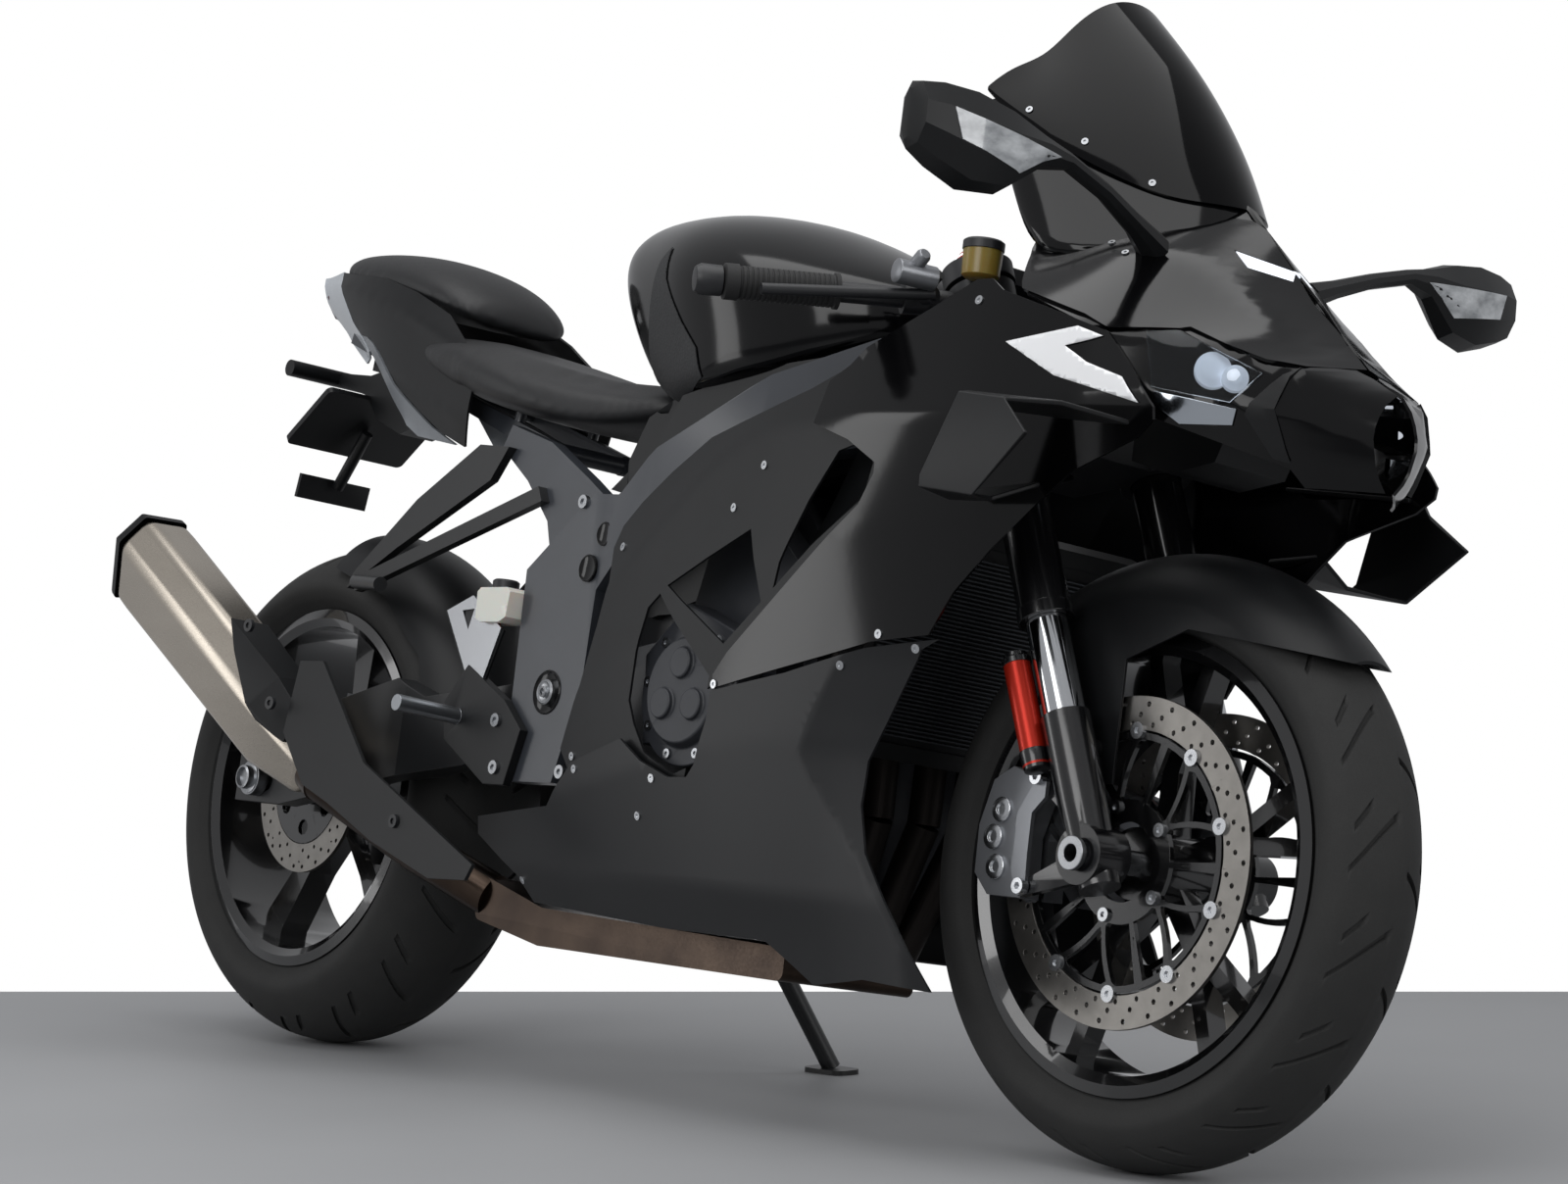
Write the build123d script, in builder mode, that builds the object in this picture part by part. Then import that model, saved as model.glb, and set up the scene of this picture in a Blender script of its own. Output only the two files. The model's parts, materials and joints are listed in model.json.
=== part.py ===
from build123d import *
import os
from math import asin, atan2, cos, degrees, hypot, radians, sin, sqrt

# Sport motorcycle, parked on its side stand. Millimetres.
# It is modelled upright: X forward from the rear axle, Y to the rider's left, Z up from the road.
# The last section leans the finished pieces onto the stand.

# ---------------------------------------------------------------- driving dimensions
wheelbase = 1450
rake = 24                    # steering axis back from vertical, degrees
fork_offset = 30             # fork legs ahead of the steering axis
fork_half_spacing = 107
steering_lock = 24           # each way, degrees
lean = 9.24                  # parked, to the left, degrees
seat_gap = 0.3               # between pieces that seat on each other

rim_seat_radius = 216        # 17 inch bead seat
rim_flange_radius = 230
rim_wall = 8

front_tyre_radius = 300
front_tyre_width = 120
front_crown_radius = 62
front_rim_width = 89
front_disc_radius = 165
front_disc_offset = 62

rear_tyre_radius = 320
rear_tyre_width = 190
rear_crown_radius = 98
rear_rim_width = 152
rear_disc_radius = 110
rear_disc_offset = 75
disc_thickness = 5

front_axle_radius = 12.5
rear_axle_radius = 14
axle_clearance = 0.05

chain_pitch = 25.4 * 5 / 8
sprocket_teeth = 41
pinion_teeth = 17
chain_line = 110             # chain centre plane, to the left

pivot_x = 565                # swingarm pivot
pivot_z = 443
panel_wall = 4               # moulded bodywork

# ---------------------------------------------------------------- worked out
rear_hub = Vector(0, 0, rear_tyre_radius)
front_hub = Vector(wheelbase, 0, front_tyre_radius)
up_fork = Vector(-sin(radians(rake)), 0, cos(radians(rake)))
ahead_fork = Vector(cos(radians(rake)), 0, sin(radians(rake)))
steering_foot = front_hub - ahead_fork * fork_offset
SPIN = (0, 1, 0)
engine_rear = pivot_x + 90           # behind this, nothing moves with the wheelbase
frame_front = 1075                   # ahead of this, everything moves with the front axle
drawn_wheelbase = 1450


def fore(x):
    """Place along the bike: the middle spreads, and the nose keeps its distance from the front axle."""
    share = min(max((x - engine_rear) / (frame_front - engine_rear), 0), 1)
    return x + share * (wheelbase - drawn_wheelbase)


def spread(points):
    """Side-view or plan-view outline with each point's x placed by fore()."""
    return [(fore(x), other) for x, other in points]


def fork_plane(height, back=0, side=0):
    """Plane across the fork: local x is forward, local y is left, height runs up the fork."""
    origin = front_hub + up_fork * height - ahead_fork * back + Vector(0, side, 0)
    return Plane(origin=origin, x_dir=ahead_fork, z_dir=up_fork)


def side_plane(inner):
    """Upright plane at y = -inner: local x is forward, local y is up, extrude goes right."""
    return Plane.XZ.offset(inner)


def wheel_plane(hub):
    """Plane through a wheel's centre: local x is the radius, local y is across the wheel."""
    return Plane(origin=hub, x_dir=(1, 0, 0), z_dir=(0, 0, 1))


def rod(start, end, radius, mode=Mode.ADD):
    """Round bar from start to end, added to the current part or cut from it."""
    start, end = Vector(start), Vector(end)
    place = Plane(origin=(start + end) / 2, z_dir=end - start)
    with Locations(place.location):
        Cylinder(radius, (end - start).length, mode=mode)


def other_side(point, side):
    """The point itself for side = 1, or its mirror image across the bike for side = -1."""
    return Vector(point.X, side * point.Y, point.Z)


# ---------------------------------------------------------------- wheels
def tyre_profile(radius, width, crown, rim_width):
    """Tyre section: a round crown, sides that fall to the beads, and a flat foot."""
    half, bead = width / 2, rim_width / 2 - seat_gap
    shoulder = radius - crown + sqrt(crown ** 2 - half ** 2)
    with BuildLine() as line:
        ThreePointArc((shoulder, -half), (radius, 0), (shoulder, half))
        Polyline(
            (shoulder, half),
            (rim_flange_radius + 4, bead + 7),
            (rim_flange_radius + seat_gap * 2, bead),
            (rim_seat_radius + seat_gap, bead),
            (rim_seat_radius + seat_gap, -bead),
            (rim_flange_radius + seat_gap * 2, -bead),
            (rim_flange_radius + 4, -bead - 7),
            (shoulder, -half),
        )
    return line.line


def rim_profile(rim_width):
    """Rim section: a barrel with a flange at each edge."""
    half = rim_width / 2
    inner = rim_seat_radius - rim_wall
    return [
        (rim_seat_radius, -half), (rim_seat_radius, half),
        (rim_flange_radius, half), (rim_flange_radius, half + 6),
        (rim_seat_radius + 2, half + 9), (inner, half + 2),
        (inner, -half - 2), (rim_seat_radius + 2, -half - 9),
        (rim_flange_radius, -half - 6), (rim_flange_radius, -half),
    ]


with BuildPart() as front_tyre:
    with BuildSketch(wheel_plane(front_hub)):
        make_face(tyre_profile(front_tyre_radius, front_tyre_width, front_crown_radius, front_rim_width).edges())
    revolve(axis=Axis(front_hub, SPIN))

with BuildPart() as rear_tyre:
    with BuildSketch(wheel_plane(rear_hub)):
        make_face(tyre_profile(rear_tyre_radius, rear_tyre_width, rear_crown_radius, rear_rim_width).edges())
    revolve(axis=Axis(rear_hub, SPIN))

front_hub_radius = 36
front_hub_half = 52
front_spokes = 5
with BuildPart() as front_rim:
    with BuildSketch(wheel_plane(front_hub)):
        Polygon(*rim_profile(front_rim_width), align=None)
    revolve(axis=Axis(front_hub, SPIN))
    spoke_face = Plane(origin=front_hub, x_dir=(1, 0, 0), z_dir=(0, -1, 0))
    with BuildSketch(spoke_face):
        with PolarLocations(0, front_spokes, start_angle=90):
            Polygon((20, -13), (95, -11), (207, -46), (211, -30), (118, 0),
                    (211, 30), (207, 46), (95, 11), (20, 13), align=None)
    extrude(amount=13, both=True)
    with Locations(Plane(origin=front_hub, z_dir=SPIN).location):
        Cylinder(front_hub_radius, 2 * front_hub_half)
        Cylinder(front_axle_radius + axle_clearance, 300, mode=Mode.SUBTRACT)

rear_hub_radius = 42
rear_hub_half = 62
rear_spokes = 5
with BuildPart() as rear_rim:
    with BuildSketch(wheel_plane(rear_hub)):
        Polygon(*rim_profile(rear_rim_width), align=None)
    revolve(axis=Axis(rear_hub, SPIN))
    spoke_face = Plane(origin=rear_hub, x_dir=(1, 0, 0), z_dir=(0, -1, 0))
    with BuildSketch(spoke_face):
        with PolarLocations(0, rear_spokes, start_angle=90):
            Polygon((20, -24), (120, -15), (211, -22), (211, 22), (120, 15), (20, 24), align=None)
    extrude(amount=20, both=True)
    with Locations(Plane(origin=rear_hub, z_dir=SPIN).location):
        Cylinder(rear_hub_radius, 2 * rear_hub_half)
        Cylinder(rear_axle_radius + axle_clearance, 300, mode=Mode.SUBTRACT)


def brake_disc(hub, offset, radius, band, carrier_radius, buttons, bore):
    """Floating disc: a ring, its carrier, and the buttons between them, at y = offset."""
    with BuildPart() as disc:
        face = Plane(origin=hub + Vector(0, offset, 0), x_dir=(1, 0, 0), z_dir=(0, -1, 0))
        with BuildSketch(face):
            Circle(radius)
            Circle(radius - band, mode=Mode.SUBTRACT)
            Circle(carrier_radius)
            with PolarLocations(carrier_radius * 0.68, 5, start_angle=18):
                Circle(carrier_radius * 0.24, mode=Mode.SUBTRACT)
            with PolarLocations(radius - band, buttons):
                Circle(8)
            Circle(bore, mode=Mode.SUBTRACT)
        extrude(amount=disc_thickness / 2, both=True)
    return disc.part


with BuildPart() as front_discs:
    for side in (-1, 1):
        add(brake_disc(front_hub, side * front_disc_offset, front_disc_radius, 34,
                       front_disc_radius - 37, 10, front_axle_radius + 8))
    for side in (-1, 1):
        reach = front_disc_offset - disc_thickness / 2 - front_hub_half
        middle = front_hub + Vector(0, side * (front_hub_half + reach / 2), 0)
        with Locations(Plane(origin=middle, z_dir=SPIN).location):
            Cylinder(front_hub_radius, reach)
            Cylinder(front_axle_radius + 8, reach, mode=Mode.SUBTRACT)

with BuildPart() as rear_disc:
    add(brake_disc(rear_hub, -rear_disc_offset, rear_disc_radius, 38, rear_disc_radius - 36, 6,
                   rear_axle_radius + 8))
    reach = rear_disc_offset - disc_thickness / 2 - rear_hub_half
    with Locations(Plane(origin=rear_hub - Vector(0, rear_hub_half + reach / 2, 0), z_dir=SPIN).location):
        Cylinder(rear_hub_radius, reach)
        Cylinder(rear_axle_radius + 8, reach, mode=Mode.SUBTRACT)

# ---------------------------------------------------------------- final drive
sprocket_radius = chain_pitch / (2 * sin(radians(180 / sprocket_teeth)))
pinion_radius = chain_pitch / (2 * sin(radians(180 / pinion_teeth)))
pinion = Vector(pivot_x + 92, chain_line, pivot_z + 12)
wheel_pitch = Vector(0, chain_line, rear_hub.Z)
roller_radius = 5.1
plate_height = 15


def toothed_wheel(centre, pitch_radius, teeth, thickness, bore):
    """Chain wheel: a disc with a pocket for each roller and teeth that stop inside the links."""
    with BuildPart() as wheel:
        with BuildSketch(Plane(origin=centre, x_dir=(1, 0, 0), z_dir=(0, -1, 0))):
            Circle(pitch_radius + 3)
            with PolarLocations(pitch_radius, teeth):
                Circle(roller_radius + seat_gap, mode=Mode.SUBTRACT)
            Circle(bore, mode=Mode.SUBTRACT)
        extrude(amount=thickness / 2, both=True)
    return wheel.part


with BuildPart() as rear_sprocket:
    add(toothed_wheel(wheel_pitch, sprocket_radius, sprocket_teeth, 6, 40))
    face = Plane(origin=wheel_pitch, x_dir=(1, 0, 0), z_dir=(0, -1, 0))
    with BuildSketch(face):
        with PolarLocations(62, 5):
            Circle(15)
    extrude(amount=10, both=True, mode=Mode.SUBTRACT)
    reach = chain_line - 3 - rear_hub_half
    with Locations(Plane(origin=rear_hub + Vector(0, rear_hub_half + reach / 2, 0), z_dir=SPIN).location):
        Cylinder(46, reach)
        Cylinder(rear_axle_radius + 8, reach, mode=Mode.SUBTRACT)

run = wheel_pitch - pinion
run_length = hypot(run.X, run.Z)
run_tilt = degrees(atan2(run.Z, run.X))
wrap = degrees(asin((sprocket_radius - pinion_radius) / run_length))


def belt_points(extra):
    """Tangent points of a loop around both chain wheels, pushed out by extra."""
    points = []
    for turn in (90 + wrap, -90 - wrap):
        angle = radians(run_tilt + 180 - turn)
        for centre, radius in ((pinion, pinion_radius), (wheel_pitch, sprocket_radius)):
            points.append((centre.X + (radius + extra) * cos(angle), centre.Z + (radius + extra) * sin(angle)))
    return points


def belt(extra):
    """Closed loop around both chain wheels, in the current sketch's plane."""
    top_pinion, top_wheel, low_pinion, low_wheel = belt_points(extra)
    with BuildLine() as loop:
        Line(top_pinion, top_wheel)
        ThreePointArc(top_wheel, (wheel_pitch.X - sprocket_radius - extra, wheel_pitch.Z), low_wheel)
        Line(low_wheel, low_pinion)
        ThreePointArc(low_pinion, (pinion.X + pinion_radius + extra, pinion.Z), top_pinion)
    return loop.line


chain_waist = 4.2            # plate half height between its pins
notch_half = 4.5
top_pinion, top_wheel, low_pinion, low_wheel = [Vector(x, chain_line, z) for x, z in belt_points(0)]
chain_runs = ((top_pinion, top_wheel), (low_pinion, low_wheel))
waists = []
for start, end in chain_runs:
    tilt = degrees(atan2(end.Z - start.Z, end.X - start.X))
    along = (end - start).normalized()
    for step in range(1, int((end - start).length / chain_pitch)):
        waist = start + along * chain_pitch * (step + 0.5)
        waists += [Location((waist.X, waist.Z, 0), (0, 0, tilt + turn)) for turn in (0, 180)]

with BuildPart() as chain:
    for inner, outer in ((-8.5, -4), (4, 8.5)):
        with BuildSketch(side_plane(-chain_line + inner)):
            make_face(belt(plate_height / 2).edges())
            make_face(belt(-plate_height / 2).edges(), mode=Mode.SUBTRACT)
            with Locations(*waists):
                Polygon((0, chain_waist), (notch_half, plate_height / 2 + 1), (-notch_half, plate_height / 2 + 1),
                        align=None, mode=Mode.SUBTRACT)
        extrude(amount=outer - inner)
    for start, end in chain_runs:
        along = (end - start).normalized()
        for step in range(4, int((end - start).length / chain_pitch) - 4, 2):
            pin = start + along * chain_pitch * (step + 1)
            rod(pin - Vector(0, 4, 0), pin + Vector(0, 4, 0), roller_radius)

# ---------------------------------------------------------------- fork and steering
lower_clamp = 452            # heights along the fork, from the axle
upper_clamp = 640
fork_top = 668
outer_tube_foot = 262
bottom_top = 150
outer_tube_radius = 27
inner_tube_radius = 21.5
stem_radius = 16
stem_bore_radius = 9

with BuildPart() as fork_tubes:
    for side in (-1, 1):
        with BuildSketch(fork_plane(outer_tube_foot, side=side * fork_half_spacing)):
            Circle(outer_tube_radius)
            Circle(inner_tube_radius + seat_gap, mode=Mode.SUBTRACT)
        extrude(amount=fork_top - outer_tube_foot)
        with BuildSketch(fork_plane(outer_tube_foot - 8, side=side * fork_half_spacing)):
            Circle(outer_tube_radius + 2)
            Circle(inner_tube_radius + seat_gap, mode=Mode.SUBTRACT)
        extrude(amount=14)

with BuildPart() as fork_sliders:
    for side in (-1, 1):
        with BuildSketch(fork_plane(bottom_top, side=side * fork_half_spacing)):
            Circle(inner_tube_radius)
        extrude(amount=fork_top - bottom_top - 4)
        with BuildSketch(fork_plane(fork_top + seat_gap, side=side * fork_half_spacing)):
            RegularPolygon(inner_tube_radius, 6)
        extrude(amount=9)
        with BuildSketch(fork_plane(fork_top - 4, side=side * fork_half_spacing)):
            Circle(inner_tube_radius - 4)
        extrude(amount=5)

with BuildPart() as fork_bottoms:
    for side in (-1, 1):
        with BuildSketch(fork_plane(-34, side=side * fork_half_spacing)):
            Circle(21)
        with BuildSketch(fork_plane(60, side=side * fork_half_spacing)):
            Circle(25)
        loft()
        with BuildSketch(fork_plane(60, side=side * fork_half_spacing)):
            Circle(25)
        extrude(amount=bottom_top - 60)
        lug = Plane(origin=front_hub + Vector(0, side * fork_half_spacing, 0), z_dir=SPIN)
        with Locations(lug.location):
            Cylinder(30, 44)
            Cylinder(front_axle_radius + seat_gap, 60, mode=Mode.SUBTRACT)
        with BuildSketch(Plane(origin=front_hub + Vector(0, side * 90, 0), x_dir=(1, 0, 0), z_dir=(0, -1, 0))):
            Polygon((-20, 14), (-93, 64), (-91, 82), (-42, 96), (-32, 62), align=None)
            Polygon((-8, -20), (-109, -44), (-107, -28), (-20, 14), align=None)
        extrude(amount=5, both=True)

with BuildPart() as fork_reservoirs:
    for side in (-1, 1):
        with BuildSketch(fork_plane(106, back=35.9, side=side * (fork_half_spacing + 16))):
            Circle(14)
        extrude(amount=118)

with BuildPart() as triple_clamp:
    for height, depth in ((lower_clamp, 34), (upper_clamp, 22)):
        with BuildSketch(fork_plane(height)):
            with Locations((0, fork_half_spacing), (0, -fork_half_spacing)):
                Circle(outer_tube_radius + 11)
            Polygon((-fork_offset - 30, -42), (22, -fork_half_spacing - 6), (22, fork_half_spacing + 6),
                    (-fork_offset - 30, 42), align=None)
            with Locations((0, fork_half_spacing), (0, -fork_half_spacing)):
                Circle(outer_tube_radius + seat_gap, mode=Mode.SUBTRACT)
        extrude(amount=depth)
    with BuildSketch(fork_plane(lower_clamp + 4, back=fork_offset)):
        Circle(stem_radius)
    extrude(amount=upper_clamp + 34 - lower_clamp)
    with BuildSketch(fork_plane(lower_clamp - 1, back=fork_offset)):
        Circle(stem_bore_radius)
    extrude(amount=upper_clamp + 40 - lower_clamp, mode=Mode.SUBTRACT)

grip_radius = 17
bar_radius = 11
clamp_height = 604
clamp_depth = 32
bar_root = front_hub + up_fork * (clamp_height + clamp_depth / 2) + Vector(0, fork_half_spacing, 0)
bar_end = bar_root + Vector(-130, 245, -20)
grip_length = 122

with BuildPart() as handlebars:
    for side in (-1, 1):
        root, tip = other_side(bar_root, side), other_side(bar_end, side)
        along = (tip - root).normalized()
        perch = root + along * 75
        with BuildSketch(fork_plane(clamp_height, side=side * fork_half_spacing)):
            Circle(outer_tube_radius + 9)
        extrude(amount=clamp_depth)
        rod(root + along * 20, tip, bar_radius)
        rod(perch - along * 13, perch + along * 13, grip_radius)
        lever_root = perch + Vector(30, 0, 2)
        rod(perch, lever_root, 9)
        rod(lever_root, tip + Vector(46, -side * 14, -8), 6)
        rod(perch, perch + Vector(34, 0, 24), 7)
        with BuildSketch(fork_plane(clamp_height - 1, side=side * fork_half_spacing)):
            Circle(outer_tube_radius + seat_gap)
        extrude(amount=clamp_depth + 2, mode=Mode.SUBTRACT)

with BuildPart() as grips:
    for side in (-1, 1):
        root, tip = other_side(bar_root, side), other_side(bar_end, side)
        along = (tip - root).normalized()
        rod(tip - along * grip_length, tip + along * 1, grip_radius)
        rod(tip + along * 1, tip + along * 30, grip_radius - 1)
        rod(tip - along * (grip_length + 1), tip + along * seat_gap, bar_radius + seat_gap, mode=Mode.SUBTRACT)

with BuildPart() as front_axle:
    rod(front_hub - Vector(0, 140, 0), front_hub + Vector(0, 128, 0), front_axle_radius)
    rod(front_hub - Vector(0, 140, 0), front_hub - Vector(0, 134, 0), 17)
    rod(front_hub - Vector(0, 141, 0), front_hub + Vector(0, 141, 0), 8.5, mode=Mode.SUBTRACT)

caliper_reach = 142          # caliper centre from the axle
caliper_angle = 172          # and its direction, from straight ahead
with BuildPart() as front_calipers:
    for side in (-1, 1):
        disc_face = Plane(origin=front_hub + Vector(0, side * front_disc_offset, 0), x_dir=(1, 0, 0), z_dir=(0, -1, 0))
        with BuildSketch(disc_face):
            with PolarLocations(caliper_reach, 1, start_angle=caliper_angle):
                Polygon((-38, -60), (10, -66), (34, -48), (42, 0), (34, 48), (10, 66), (-38, 60), (-26, 0), align=None)
        extrude(amount=30, both=True)
        lug_face = side * (95 + seat_gap)
        lug_plane = Plane(origin=front_hub + Vector(0, lug_face, 0), x_dir=(side, 0, 0), z_dir=(0, -side, 0))
        with BuildSketch(lug_plane):
            Polygon(*[(side * x, z) for x, z in ((-84, 72), (-100, 72), (-120, 40), (-120, -20), (-108, -44),
                                                 (-98, -40), (-100, 0), (-100, 40), (-84, 56))], align=None)
        extrude(amount=-5)
        for z in (30, -10):
            rod(front_hub + Vector(-125 + 8, side * 88, z), front_hub + Vector(-125 + 8, lug_face + side * 5, z), 7)
        with Locations(Plane(origin=disc_face.origin, z_dir=SPIN).location):
            Cylinder(front_disc_radius + 4, disc_thickness + 3, mode=Mode.SUBTRACT)

fender_gap = 14              # from tyre to mudguard
fender_wall = 3
with BuildPart() as front_fender:
    inner_r = front_tyre_radius + fender_gap
    with BuildSketch(wheel_plane(front_hub)):
        for grow, mode in ((fender_wall, Mode.ADD), (0, Mode.SUBTRACT)):
            with BuildLine():
                arc = ThreePointArc((inner_r - 58 + grow, -70 - grow), (inner_r + grow, 0),
                                    (inner_r - 58 + grow, 70 + grow))
                Line(arc @ 1, (0, 70 + grow))
                Line((0, 70 + grow), (0, -70 - grow))
                Line((0, -70 - grow), arc @ 0)
            make_face(mode=mode)
    revolve(axis=Axis(front_hub, SPIN))
    with BuildSketch(side_plane(-200)):
        Polygon((wheelbase + 235, 505), (wheelbase + 262, 620), (wheelbase - 60, 700), (wheelbase - 200, 560),
                (wheelbase - 150, 500), (wheelbase - 88, 375), (wheelbase - 20, 375), (wheelbase - 20, 500),
                (wheelbase + 60, 530), align=None)
    extrude(amount=400, mode=Mode.INTERSECT)
    for side in (-1, 1):
        boss = front_hub + up_fork * 120
        rod(boss + Vector(0, side * 71, 0), boss + Vector(0, side * (fork_half_spacing - 25 - seat_gap), 0), 9)

# ---------------------------------------------------------------- frame
stand_pivot = Vector(600, 150, 262)
stand_foot_x = 655
stand_foot_y = 290
foot_thickness = 6
rear_sink = rear_crown_radius * (1 - cos(radians(lean)))
stand_foot = Vector(stand_foot_x, stand_foot_y,
                    (foot_thickness - rear_sink + stand_foot_y * sin(radians(lean))) / cos(radians(lean)))
stand_leg = stand_foot - stand_pivot
stand_hinge = Vector(0, -stand_leg.Z, stand_leg.Y).normalized()
head_low = 492               # heights of the head tube along the steering axis
head_high = 632
head_radius = 30
beam_wall = 30
pivot_half = 152             # frame outer face at the pivot
beam_half = 188              # widest point of the beams
pivot_radius = 14

with BuildPart() as main_frame:
    with BuildSketch(side_plane(20)):
        Polygon(*spread([
            (pivot_x - 50, 585), (pivot_x - 46, 418), (pivot_x - 38, 336), (pivot_x + 50, 337),
            (pivot_x + 84, 451), (pivot_x + 90, 560), (765, 636), (935, 690), (1060, 712), (1160, 742),
            (1196, 756), (1176, 812), (1128, 804), (frame_front, 832), (924, 775), (830, 735), (758, 705),
            (690, 668), (629, 673)]), align=None)
    extrude(amount=200)
    with BuildSketch(Plane.XY.offset(300)):
        Polygon(*spread([
            (1190, -20), (1150, -74), (1085, -132), (960, -beam_half + 4), (780, -beam_half),
            (650, -pivot_half), (500, -pivot_half), (500, -pivot_half + beam_wall),
            (650, -pivot_half + beam_wall), (780, -beam_half + beam_wall),
            (950, -beam_half + beam_wall + 4), (1062, -104), (1122, -50), (1150, -20)]), align=None)
    extrude(amount=600, mode=Mode.INTERSECT)
    mirror(about=Plane.XZ)
    with BuildSketch(fork_plane(head_low, back=fork_offset)):
        Circle(head_radius)
    extrude(amount=head_high - head_low)
    for x, z, radius in ((pivot_x, pivot_z, pivot_radius), (pivot_x + 6, 352, 14), (pivot_x + 108, 650, 18)):
        rod((x, -pivot_half + 8, z), (x, pivot_half - 8, z), radius)
    with BuildSketch(fork_plane(head_low - 1, back=fork_offset)):
        Circle(stem_radius + seat_gap)
    extrude(amount=head_high - head_low + 2, mode=Mode.SUBTRACT)
    with BuildSketch(side_plane(-pivot_half + beam_wall)):
        Polygon((pivot_x + 7, 350), (pivot_x + 50, 350), (stand_pivot.X + 20, 240), (stand_pivot.X - 20, 240),
                align=None)
    extrude(amount=-7)
    rod(stand_pivot - stand_hinge * 30, stand_pivot - stand_hinge * (12 + seat_gap), 16)
    rod(stand_pivot - stand_hinge * 30, stand_pivot + stand_hinge * 14, 6)
    rod(stand_pivot + stand_hinge * (12 + seat_gap), stand_pivot + stand_hinge * 17, 10)

# ---------------------------------------------------------------- engine
with BuildPart() as engine_block:
    with BuildSketch(side_plane(-84)):
        Polygon(*spread([
            (640, 345), (610, 300), (640, 215), (760, 190), (950, 200), (985, 262), (1007, 430),
            (1007, 600), (950, 672), (830, 640), (800, 520), (690, 500)]), align=None)
    extrude(amount=84 + 112)
    with BuildSketch(side_plane(-148)):
        Polygon(*spread([
            (735, 330), (750, 250), (960, 250), (996, 330), (985, 470), (1000, 590), (940, 640),
            (850, 610), (820, 500), (735, 470)]), align=None)
    extrude(amount=296)
    rod((pinion.X, 80, pinion.Z), (pinion.X, chain_line + 4, pinion.Z), pinion_radius - plate_height / 2 - seat_gap)

cover_x, cover_z = fore(883), 442
with BuildPart() as engine_covers:
    for side in (-1, 1):
        face = Plane(origin=(cover_x, side * (148 + seat_gap), cover_z), x_dir=(-side, 0, 0), z_dir=(0, side, 0))
        with BuildSketch(face):
            Circle(82)
            Polygon((-70, -60), (70, -40), (86, 60), (-20, 98), (-84, 40), align=None)
        extrude(amount=34)
        with BuildSketch(face.offset(34)):
            Circle(62)
        extrude(amount=12, taper=20)
        with BuildSketch(face.offset(34)):
            with PolarLocations(30, 3, start_angle=90):
                Circle(17)
        extrude(amount=18)

with BuildPart() as radiator:
    face = Plane(origin=(fore(1092), 0, 412), x_dir=(0, 1, 0), z_dir=(0.93, 0, -0.36))
    with BuildSketch(face):
        with Locations((0, 118)):
            Rectangle(360, 226)
    extrude(amount=32)
    with BuildSketch(face.offset(-2)):
        with Locations((0, -4), (0, 240)):
            Rectangle(340, 18)
    extrude(amount=38)
    for side in (-1, 1):
        rod((fore(1168), side * 50, 600), (fore(1152), side * 50, 737.8), 6)

# ---------------------------------------------------------------- exhaust
header_radius = 18
silencer_foot = Vector(192, -196, 330)
silencer_tip = Vector(-236, -232, 600)
with BuildPart() as exhaust_pipes:
    with BuildSketch(side_plane(-90)):
        Polygon(*spread([(430, 176), (430, 230), (560, 196), (1000, 180), (1000, 144), (560, 152)]), align=None)
    extrude(amount=190)
    fillet(exhaust_pipes.edges().filter_by(Axis.Y), 10)
    for y in (-105, -38, 38, 105):
        port = Vector(fore(1007) + seat_gap, y, 560)
        bend = Vector(fore(1046), y, 544)
        rod(port, bend + Vector(-12, 0, 16), header_radius)
        rod(bend + Vector(-18, 0, 16), bend, header_radius)
        rod(bend, (bend.X, y * 0.9, 330), header_radius)
        rod((bend.X, y * 0.9, 330), (fore(988), y * 0.62, 165), header_radius)
    rod((440, -84, 204), (330, -128, 250), 27)
    axis = (silencer_tip - silencer_foot).normalized()
    rod((330, -128, 250), silencer_foot - axis * 14, 27)
    rod(silencer_foot - axis * 24, silencer_foot - axis * seat_gap, 27)
    rod((262, -160, 311), (262, -238 + seat_gap, 311), 7)


silencer_stations = ((0, 0.62), (0.2, 0.98), (0.94, 1), (1, 0.9))


def silencer_body(grow):
    """Six-sided can from foot to tip, swollen by grow."""
    along = (silencer_tip - silencer_foot).normalized()
    with BuildPart() as body:
        for station, scale in silencer_stations:
            origin = silencer_foot + (silencer_tip - silencer_foot) * station
            with BuildSketch(Plane(origin=origin, x_dir=(0, 1, 0), z_dir=along)):
                corners = ((-52, -20), (-30, -62), (34, -62), (52, -16), (44, 50), (-22, 62))
                Polygon(*[(x * (scale + grow / 55), y * (scale + grow / 55)) for x, y in corners], align=None)
        loft(ruled=True)
    return body.part


with BuildPart() as silencer:
    add(silencer_body(0))
    with BuildSketch(Plane(origin=silencer_tip, x_dir=(0, 1, 0), z_dir=silencer_tip - silencer_foot)):
        Circle(26)
    extrude(amount=-60, mode=Mode.SUBTRACT)

with BuildPart() as silencer_guard:
    with BuildSketch(side_plane(190)):
        Polygon((-7, 566), (-1, 592), (36, 600), (64, 594), (113, 560), (190, 500), (200, 420), (180, 360),
                (132, 384), (60, 470), align=None)
    extrude(amount=120)
    add(silencer_body(6), mode=Mode.INTERSECT)
    add(silencer_body(1.2), mode=Mode.SUBTRACT)
    with BuildSketch(side_plane(238)):
        Polygon((183, 372), (200, 460), (250, 460), (366, 340), (611, 232), (600, 214), (528, 212),
                (400, 250), (300, 290), (240, 310), align=None)
    extrude(amount=5)

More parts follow.
